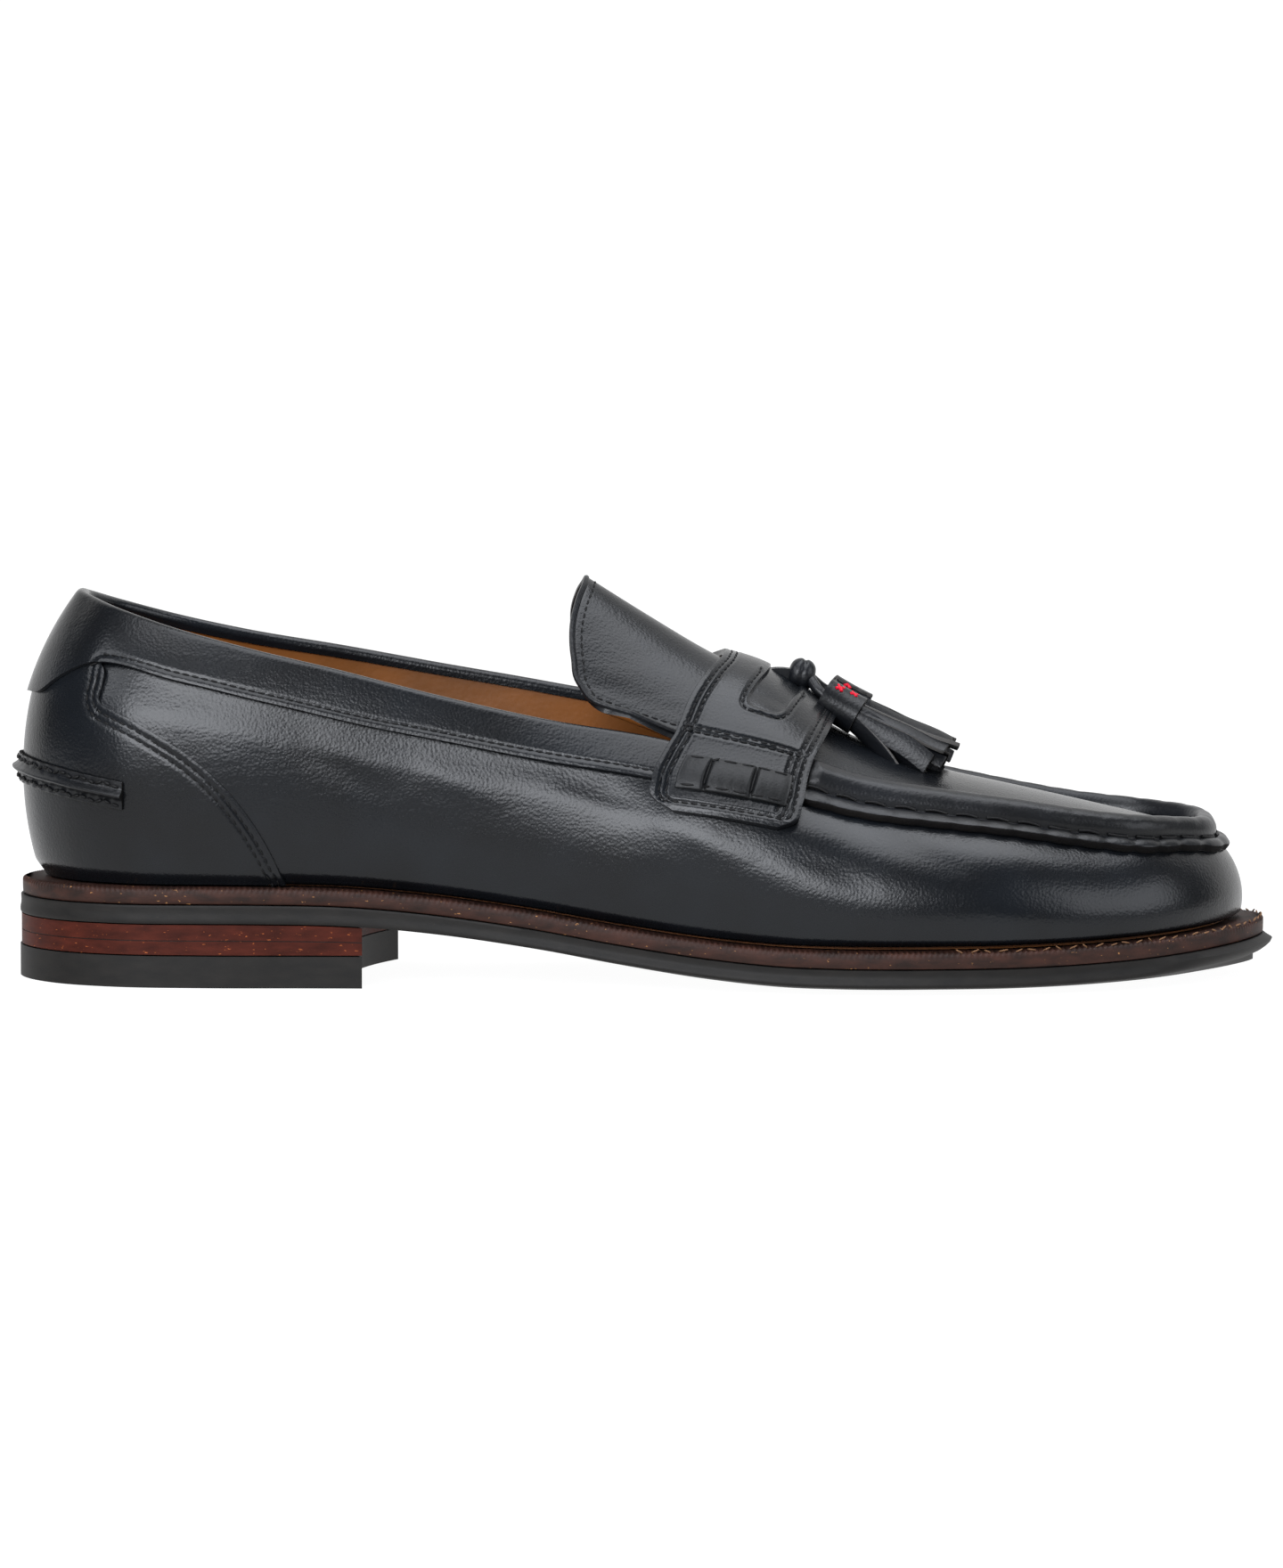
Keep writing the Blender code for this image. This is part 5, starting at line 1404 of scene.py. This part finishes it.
@dataclass
class Sole:
    """Outsole, midsole with its welt, heel stack, top lift and insole."""

    columns: int = 560
    breast: float = 86.2 * MM
    slant: float = 7.0 * MM
    hollow: float = 7.0 * MM
    top_lift: float = 7.5 * MM
    insole: float = 3.0 * MM
    upper_wall: float = 2.0 * MM
    knurl: float = 1.35 * MM
    knurl_depth: float = 0.30 * MM
    notch_depth: float = 0.42 * MM
    toe_tuck: float = 1.1 * MM
    stitched_from: float = 222 * MM

    def build(self) -> None:
        """Make the layers from the floor up."""
        self._outsole()
        self._midsole()
        self._heel()
        self._insole()

    def _ringed(self, name: str, columns: int, rim: Sequence[tuple[float, float]],
                under: Callable, over: Callable, wave: Callable, finishes: Sequence[Finish],
                replaced: Sequence[str],
                notch: Callable = np.zeros_like) -> bpy.types.Object:
        """Layer with a shaped side: rim gives height share and inset, from the bottom to the top."""
        across = 24
        ring = [("under", k / across) for k in range(across + 1)]
        ring += [("right", k) for k in range(len(rim))]
        ring += [("over", 1.0 - k / across) for k in range(across + 1)]
        ring += [("left", k) for k in range(len(rim) - 1, -1, -1)]
        ring.append(ring[0])
        kinds = [kind for kind, _ in ring]
        marks = np.array([mark for _, mark in ring], float)
        rows = len(ring) - 1
        heights = np.array([h for h, _ in rim])
        insets = np.array([i for _, i in rim]) * MM

        def surface(a: Array, b: Array) -> Array:
            k = np.rint(b * rows).astype(int)
            kind = np.array(kinds)[k]
            mark = marks[k]
            flat = np.isin(kind, ("under", "over"))
            number = np.clip(mark, 0, len(rim) - 1).astype(int)
            rise = np.where(flat, np.where(kind == "under", 0.0, 1.0), heights[number])
            inset = np.where(flat, np.where(kind == "under", insets[0], insets[-1]), insets[number])
            inset = inset + wave(a, rise)
            left, right = LAST.edge(a, inset)[0], LAST.edge(2.0 - a, inset)[0]
            share = np.where(flat, mark, np.where(kind == "right", 1.0, 0.0))[:, None]
            plan = mix(left, right, share)
            side = np.abs(2 * share[:, 0] - 1)
            low, high = under(plan[:, 0], side), over(plan[:, 0], side)
            notched = (rise > 0.99) & (side > 0.999)
            return np.column_stack([plan, mix(low, high, rise) - notched * notch(a)])

        bm = laid_grid(columns, rows, surface)
        bmesh.ops.remove_doubles(bm, verts=bm.verts, dist=0.003 * MM)
        bmesh.ops.dissolve_degenerate(bm, edges=bm.edges, dist=0.001 * MM)
        bmesh.ops.recalc_face_normals(bm, faces=bm.faces)
        return finished(name, bm, finishes, replaced, 55)

    def _arc(self) -> tuple[Array, Array]:
        """Places and the distance run along the outline to them."""
        places = np.linspace(0, 1, 800)
        return places, run_of(LAST.edge(places)[0])

    def _outsole(self) -> None:
        """Rubber outsole with a lip at its tread and a shallow groove above it."""
        rim = ((0.0, 0.7), (0.06, 0.15), (0.16, 0.0), (0.30, 0.15), (0.48, 0.75), (0.66, 0.95),
               (0.86, 0.75), (0.97, 0.70), (1.0, 0.95))

        def flatter(a: Array, height: Array) -> Array:
            x = LAST.x_of(a)
            flare = 0.25 + 0.75 * ease((x - 90 * MM) / (60 * MM))
            scooped = np.interp(height, (0.0, 0.1, 0.3, 0.5, 0.66, 0.86, 1.0),
                                (3.4, 2.3, 0.7, -1.0, -1.4, 0.1, 0.8))
            return ((flare - 1.0) * np.interp(height, *zip(*rim)) + toe_share(x) * scooped) * MM

        self._ringed("rubber_outsole", self.columns, rim, LAST.tread_level,
                     lambda x, s: LAST.sole_level(x), flatter,
                     (SOLE_RUBBER,), ("outsole",))

    def _midsole(self) -> None:
        """Leatherboard midsole whose welt has a knurled top edge."""
        places, run = self._arc()

        def teeth(a: Array) -> Array:
            reach = np.interp(LAST.to_back(a), places, run)
            return 0.5 + 0.5 * np.cos(2 * math.pi * reach / self.knurl)

        def wave(a: Array, height: Array) -> Array:
            drawn_in = self.toe_tuck * toe_share(LAST.x_of(a))
            return self.knurl_depth * teeth(a) * ease((height - 0.74) / 0.2) * 1.6 + drawn_in

        rim = ((0.0, 0.85), (0.08, 0.65), (0.5, 0.60), (0.72, 0.60), (0.84, 0.62), (0.93, 0.80),
               (1.0, 1.35))
        welt = self._ringed("welt_and_midsole", 1500, rim,
                            lambda x, s: LAST.sole_level(x) + LAST.gap,
                            lambda x, s: LAST.seat_level(x), wave, (WELT_BOARD,), ("midsole",),
                            lambda a: self.notch_depth * teeth(a))
        self._welt_stitches(welt)

    def _welt_stitches(self, welt: bpy.types.Object) -> None:
        """Tan lockstitches on top of the welt, round the forepart."""
        start = float(LAST.column_at(self.stitched_from))
        u = np.linspace(start, 2.0 - start, 500)
        plan = LAST.edge(u, 2.2 * MM)[0]
        line = np.column_stack([plan, LAST.seat_level(plan[:, 0])]) + ORIGIN
        thread = bmesh.new()
        Seam(pitch=3.4 * MM, gap=0.9 * MM, radius=0.26 * MM, sunk=0.0).sew(thread, line, skin_of(welt))
        finished("welt_stitches", thread, (TAN_THREAD,), angle=THREAD_ANGLE)

    def _heel(self) -> None:
        """Stack in two boards with a glue line between them, and the top lift."""
        reach = float(LAST.column_at(self.breast))

        def layer(name: str, inset: float, under: Callable, over: Callable, finish: Board,
                  replaced: Sequence[str]) -> None:

            def at(a: Array, b: Array, level: Callable) -> Array:
                u = reach * a
                left, right = LAST.edge(u, inset)[0], LAST.edge(2.0 - u, inset)[0]
                plan = mix(left, right, b[:, None])
                push = self.slant * (b - 0.5) - self.hollow * 4 * b * (1 - b)
                plan[:, 0] += a ** 6 * push
                return np.column_stack([plan, level(plan[:, 0], np.abs(2 * b - 1))])

            bm = slab(180, 30, lambda a, b: at(a, b, under), lambda a, b: at(a, b, over))
            made = finished(name, bm, (finish, finish, finish), replaced, 35)
            soften(made, 0.3 * MM)

        base = self.top_lift + LAST.gap

        def top(x: Array, s: Array) -> Array:
            return LAST.tread_level(x, np.ones(len(x))) - LAST.gap

        def middle(x: Array, s: Array) -> Array:
            return mix(base, top(x, s), 0.47)

        layer("top_lift_rubber", 0.0, lambda x, s: np.zeros(len(x)),
              lambda x, s: np.full(len(x), self.top_lift), SOLE_RUBBER, ("heel_top_lift",))
        layer("heel_board_low", 0.3 * MM, lambda x, s: np.full(len(x), base),
              lambda x, s: middle(x, s) - 0.12 * MM, STACK_BOARD, ("heel_stack",))
        layer("heel_glue_line", 0.5 * MM, lambda x, s: middle(x, s) - 0.11 * MM,
              lambda x, s: middle(x, s) + 0.11 * MM, GLUE_LINE, ())
        layer("heel_board_high", 0.3 * MM, lambda x, s: middle(x, s) + 0.12 * MM, top,
              STACK_BOARD, ())

    def _insole(self) -> None:
        """Tan insole that fills the floor of the shoe."""

        def at(a: Array, b: Array, level: float) -> Array:
            left, right = (LAST.edge(u, LAST.sections.at(u)[:, 0] + self.upper_wall
                                     + 2 * LAST.gap)[0] for u in (a, 2.0 - a))
            plan = mix(left, right, b[:, None])
            return np.column_stack([plan, LAST.seat_level(plan[:, 0]) + LAST.gap + level])

        bm = slab(200, 40, lambda a, b: at(a, b, 0.0), lambda a, b: at(a, b, self.insole))
        insole = finished("insole_leather", bm, (LINING, LINING, LINING), ("insole",))
        soften(insole, 0.5 * MM)


@dataclass(frozen=True)
class Strip:
    """One cut strip of a tassel's fringe."""

    angle: float
    length: float
    width: float
    spread: float
    sag: float = 0.0
    root: float = 0.66


@dataclass
class Tassels:
    """Knotted thong on the strap and the two tassels that hang from it."""

    strap: Strap
    knot_radius: float = 3.1 * MM
    knot_at: float = 187.0 * MM
    thong: float = 1.35 * MM
    head_radius: float = 4.4 * MM
    head_length: float = 9.6 * MM
    sleeve: float = 0.85 * MM
    leather: float = 1.05 * MM
    spread: float = 5.0 * MM
    ahead: float = 4.9 * MM
    drop: float = 5.0 * MM
    fall: float = 0.56
    turn: float = 0.16
    # angle from the side away from the other tassel, upward; lengths and widths in mm
    near: tuple = (
        Strip(14.0, 20.8, 5.0, 1.6, -1.6), Strip(66.0, 22.5, 4.0, 1.2, 0.6),
        Strip(112.0, 24.6, 4.0, 1.9, 1.0), Strip(-34.0, 24.5, 4.6, 3.2, -8.6),
        Strip(-95.0, 21.0, 4.4, 1.6, -2.6), Strip(166.0, 23.5, 4.4, 1.2, 0.0),
        Strip(28.0, 23.5, 3.2, 0.5, 0.0, 0.42), Strip(-40.0, 22.5, 3.6, 1.2, -2.6, 0.45),
        Strip(-150.0, 24.0, 3.4, 0.6, -0.5, 0.45))
    far: tuple = (
        Strip(-4.0, 22.0, 4.6, 0.9, 0.2), Strip(62.0, 23.6, 4.3, 1.2, 0.2),
        Strip(120.0, 22.4, 4.2, 1.3, 0.3), Strip(-66.0, 19.0, 4.4, 2.4, -2.4),
        Strip(-124.0, 21.0, 4.4, 1.2, -1.4), Strip(172.0, 22.0, 4.2, 1.0, -0.4),
        Strip(150.0, 24.2, 3.2, 0.6, -0.6, 0.42), Strip(20.0, 23.0, 3.4, 0.5, 0.0, 0.45))

    def _strap_top(self, x: float) -> float:
        """Height of the strap's top on the middle line."""
        half = np.array([0.5])
        rear = self.strap.point(half, np.array([0.0]))[0, 0]
        front = self.strap.point(half, np.array([1.0]))[0, 0]
        share = np.array([(x - rear) / (front - rear)])
        return float(self.strap.point(half, share, self.strap.thickness)[0, 2])

    def build(self) -> None:
        """Make the knot, its loop and the tassels."""
        knot = np.array([self.knot_at, 0.0,
                         self._strap_top(self.knot_at) + LAST.gap + self.knot_radius * 0.92])
        self._knot(knot)
        self.red = bmesh.new()
        self._tassel(knot, Side.LATERAL, self.near)
        self._tassel(knot, Side.MEDIAL, self.far)
        finished("red_cross_stitches", self.red, (RED_THREAD,), angle=THREAD_ANGLE)

    def _knot(self, knot: Array) -> None:
        """Barrel-like knot of two turns, with the loop that comes out of the window behind it."""
        bm = bmesh.new()
        bmesh.ops.create_uvsphere(bm, u_segments=48, v_segments=32, radius=1.0)
        tilt = Matrix.Rotation(math.radians(16), 3, "Y")
        barrel = 0.62
        for vert in bm.verts:
            x, y, z = vert.co
            ring = math.hypot(y, z)
            swell = ring ** barrel / max(ring, 1e-6)
            waist = 1.0 - 0.10 * math.exp(-(x / 0.16) ** 2)
            place = Vector((x * 3.2, y * swell * 3.5 * waist, z * swell * 4.0 * waist))
            vert.co = tilt @ place * MM + Vector(knot + ORIGIN)
        for sign in (-1.0, 1.0):
            path = [(-9.8, 1.6, -3.2), (-8.9, 1.6, -1.2), (-7.2, 1.6, 0.0), (-5.0, 1.4, 0.2),
                    (-2.8, 1.1, 0.0), (-1.0, 0.8, -0.4)]
            points = np.array([(x, sign * y, z) for x, y, z in path]) * MM + knot

            def face(a: Array, b: Array, off: float, points: Array = points) -> Array:
                curve = Table(np.linspace(0, 1, len(points)), points)
                way = unit(curve.at(np.minimum(a + 0.01, 1)) - curve.at(np.maximum(a - 0.01, 0)))
                upward = unit(np.cross(way, np.array([0.0, 1.0, 0.0])))
                upward = np.where(upward[:, 2:3] < 0, -upward, upward)
                return (curve.at(a) + upward * ((b - 0.62) * 4.0 * MM)[:, None]
                        + np.array([0.0, off, 0.0]))

            join(bm, slab(24, 6, lambda a, b: face(a, b, -0.75 * MM),
                          lambda a, b: face(a, b, 0.75 * MM)))
        made = finished("knot_and_loop", bm, (ROLLED_CALF,), ("thong_knot",))
        soften(made, 0.35 * MM, 3)

    def _tassel(self, knot: Array, side: Side, strips: Sequence[Strip]) -> None:
        """One tassel: thong, wrapped sleeve with its red cross, and cut strips."""
        sign = side.value
        aim = unit(np.array([1.0, sign * self.turn, -self.fall]))
        start = knot + np.array([self.knot_radius * 0.6, sign * self.thong * 0.9, -0.6 * MM])
        head = knot + np.array([self.ahead, sign * self.spread, -self.drop])
        if side is Side.MEDIAL:
            head = head + np.array([1.4, 0.0, 0.2]) * MM
        out = unit(np.cross(aim, np.array([0.0, 0.0, 1.0])))
        out = out if out[1] * sign > 0 else -out
        top = unit(np.cross(out, aim))
        top = top if top[2] > 0 else -top

        def around(reach: Array, angle: Array, radius: Array) -> Array:
            """Points round the tassel's axis; the angle is in degrees from the outer side up."""
            turn = np.radians(angle)
            return (head + aim * reach[:, None] + out * (radius * np.cos(turn))[:, None]
                    + top * (radius * np.sin(turn))[:, None])

        def sleeve(a: Array, b: Array, outer: float) -> Array:
            teeth = 5.0 * np.abs((a * 7) % 2 - 1) * (b > 0.985)
            angle = 96.0 + 385.0 * b - teeth
            flare = 1.0 + 0.035 * (2 * a - 1) ** 2
            radius = (self.head_radius - self.sleeve * (1.0 - outer)) * flare
            radius = radius + 0.62 * MM * ease((b - 0.82) / 0.18)
            return around(a * self.head_length, angle, radius)

        bm = slab(28, 110, lambda a, b: sleeve(a, b, 0.0), lambda a, b: sleeve(a, b, 1.0))
        wrap = finished("tassel_sleeve_" + side.name.lower(), bm,
                        (ROLLED_CALF, ROLLED_CALF, PALE_EDGE), ("tassel_" + side.name.lower(),))
        soften(wrap, 0.25 * MM)
        bm = tube(resample(np.array([start, mix(start, head, 0.6), head + aim * 3 * MM]),
                           0.7 * MM) + ORIGIN, self.thong, 12)
        join(bm, tube(resample(np.array([head + aim * 0.9 * MM, head + aim * 5 * MM]),
                               1.0 * MM) + ORIGIN, self.head_radius - 1.1 * MM, 24))
        for strip in strips:
            join_kept(bm, self._strip(strip, around, top))
        fringe = finished("tassel_fringe_" + side.name.lower(), bm,
                          (ROLLED_CALF, ROLLED_CALF, PALE_EDGE))
        soften(fringe, 0.16 * MM)
        self._cross(around, side)

    def _strip(self, strip: Strip, around: Callable, top: Array) -> bmesh.types.BMesh:
        """Cut strip that leaves the sleeve curved like it and flattens toward its tip."""
        root = self.head_radius * strip.root

        def face(a: Array, b: Array, outer: float) -> Array:
            open_ = ease(a / 0.75)
            bend = mix(root, root * 4.0, open_)
            arc = (b - 0.5) * strip.width * MM / bend
            middle = root + strip.spread * MM * a ** 1.5
            radial = (middle - bend) + (bend + self.leather * (outer - 0.5)) * np.cos(arc)
            side = (bend + self.leather * (outer - 0.5)) * np.sin(arc)
            radius = np.hypot(radial, side)
            angle = strip.angle + np.degrees(np.arctan2(side, radial))
            reach = self.head_length - 3.0 * MM + (strip.length + 3.0) * MM * a
            ripple = 0.25 * MM * np.sin(a * 9.0 + strip.angle) * a
            droop = (strip.sag * MM * a ** 1.8 + ripple)[:, None]
            return around(reach, angle, radius) + top * droop

        return slab(34, 8, lambda a, b: face(a, b, 0.0), lambda a, b: face(a, b, 1.0))

    def _cross(self, around: Callable, side: Side) -> None:
        """Small crosses of red thread on the sleeve."""
        spots = ((70.0, 2.0), (84.0, 5.6)) if side is Side.LATERAL else ((118.0, 2.2),)
        for (angle, start), lean in itertools.product(spots, (1, -1)):
            reach = np.array([start, start + 1.6]) * MM
            turn = angle + np.array([-12.0, 12.0]) * lean
            line = around(reach, turn, np.full(2, self.head_radius + 0.18 * MM))
            join(self.red, tube(resample(line, 0.5 * MM) + ORIGIN, 0.40 * MM))


@dataclass
class Studio:
    """Pale floor, soft lights and the camera at the photograph's angle."""

    distance: float = 2.5
    elevation: float = 5.0
    lens: float = 239.8
    target: tuple[float, float, float] = (0.0, 0.0039, 0.04545)
    floor_glow: float = 0.97
    backdrop_glow: float = 1.0
    room_light: float = 0.05
    lamp_colour: str = "F6F9FF"
    # name, place, what it is aimed at, width and height, power
    lamps: tuple = (
        ("key_softbox", (-0.56, -1.30, 0.64), (-0.05, 0.0, 0.05), (1.05, 0.62), 28.0),
        ("top_softbox", (0.10, -0.15, 1.45), (0.0, -0.05, 0.05), (1.8, 0.90), 27.0),
        ("toe_softbox", (1.30, -0.55, 0.62), (0.10, 0.0, 0.04), (1.1, 0.85), 10.0),
        ("heel_softbox", (-1.15, -0.60, 1.00), (-0.10, 0.0, 0.05), (0.5, 0.5), 5.0))

    def build(self) -> None:
        """Set the stage."""
        scene = bpy.context.scene
        scene.view_settings.view_transform = "Standard"
        self._lit_plane("light_table_floor", (0.0, 7.0, 0.0), False, self.floor_glow)
        self._lit_plane("white_backdrop", (0.0, 4.0, 0.0), True, self.backdrop_glow)
        world = bpy.data.worlds.new("dim_room")
        scene.world = world
        world.use_nodes = True
        room = world.node_tree.nodes["Background"]
        room.inputs["Color"].default_value = linear("FFFFFF")
        room.inputs["Strength"].default_value = self.room_light
        for lamp in self.lamps:
            self._light(*lamp)
        self._camera()

    def _lit_plane(self, name: str, place: tuple, upright: bool, glow: float) -> None:
        """White sheet lit from behind, as under a light table or behind a studio set."""
        bm = bmesh.new()
        turn = Matrix.Rotation(math.pi / 2, 4, "X") if upright else Matrix.Identity(4)
        bmesh.ops.create_grid(bm, x_segments=1, y_segments=1, size=8.0,
                              matrix=Matrix.Translation(place) @ turn)
        mesh = bpy.data.meshes.new(name)
        bm.to_mesh(mesh)
        bm.free()
        sheet = bpy.data.objects.new(name, mesh)
        bpy.context.scene.collection.objects.link(sheet)
        acrylic = bpy.data.materials.new("lit_white_acrylic_" + name)
        acrylic.use_nodes = True
        shader = acrylic.node_tree.nodes["Principled BSDF"]
        shader.inputs["Base Color"].default_value = linear("606060")
        shader.inputs["Roughness"].default_value = 0.9
        shader.inputs["Specular IOR Level"].default_value = 0.0
        shader.inputs["Emission Color"].default_value = linear("FFFFFF")
        shader.inputs["Emission Strength"].default_value = glow
        mesh.materials.append(acrylic)

    def _light(self, name: str, place: tuple, aim: tuple, size: tuple, power: float) -> None:
        """One rectangular softbox."""
        data = bpy.data.lights.new(name, "AREA")
        data.shape = "RECTANGLE"
        data.size, data.size_y = size
        data.energy = power
        data.color = linear(self.lamp_colour)[:3]
        lamp = bpy.data.objects.new(name, data)
        lamp.location = place
        lamp.rotation_euler = (Vector(aim) - Vector(place)).to_track_quat("-Z", "Y").to_euler()
        bpy.context.scene.collection.objects.link(lamp)

    def _camera(self) -> None:
        """Camera of the photograph: nearly level, far away, on the lateral side."""
        data = bpy.data.cameras.new("camera")
        data.lens = self.lens
        data.sensor_width = 36.0
        data.clip_end = 20.0
        camera = bpy.data.objects.new("camera", data)
        tilt = math.radians(self.elevation)
        back = Vector((0.0, -math.cos(tilt), math.sin(tilt)))
        camera.location = Vector(self.target) + back * self.distance
        camera.rotation_euler = (-back).to_track_quat("-Z", "Y").to_euler()
        bpy.context.scene.collection.objects.link(camera)
        bpy.context.scene.camera = camera


def clear_defaults() -> None:
    """Remove what an empty start-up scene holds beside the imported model."""
    kept = set(frame["nodes"].values()) | set(frame["bodies"].values())
    for obj in list(bpy.context.scene.objects):
        if obj not in kept:
            bpy.data.objects.remove(obj, do_unlink=True)


def main() -> None:
    """Build every sub-assembly in order and report it."""
    logging.basicConfig(level=logging.INFO, format="%(name)s: %(message)s")
    clear_defaults()
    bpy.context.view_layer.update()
    Studio().build()
    Upper().build()
    Trim().build()
    ApronSeam().build()
    strap = Strap()
    strap.build()
    Tongue().build()
    Sole().build()
    Tassels(strap).build()


if __name__ == "__main__":
    main()
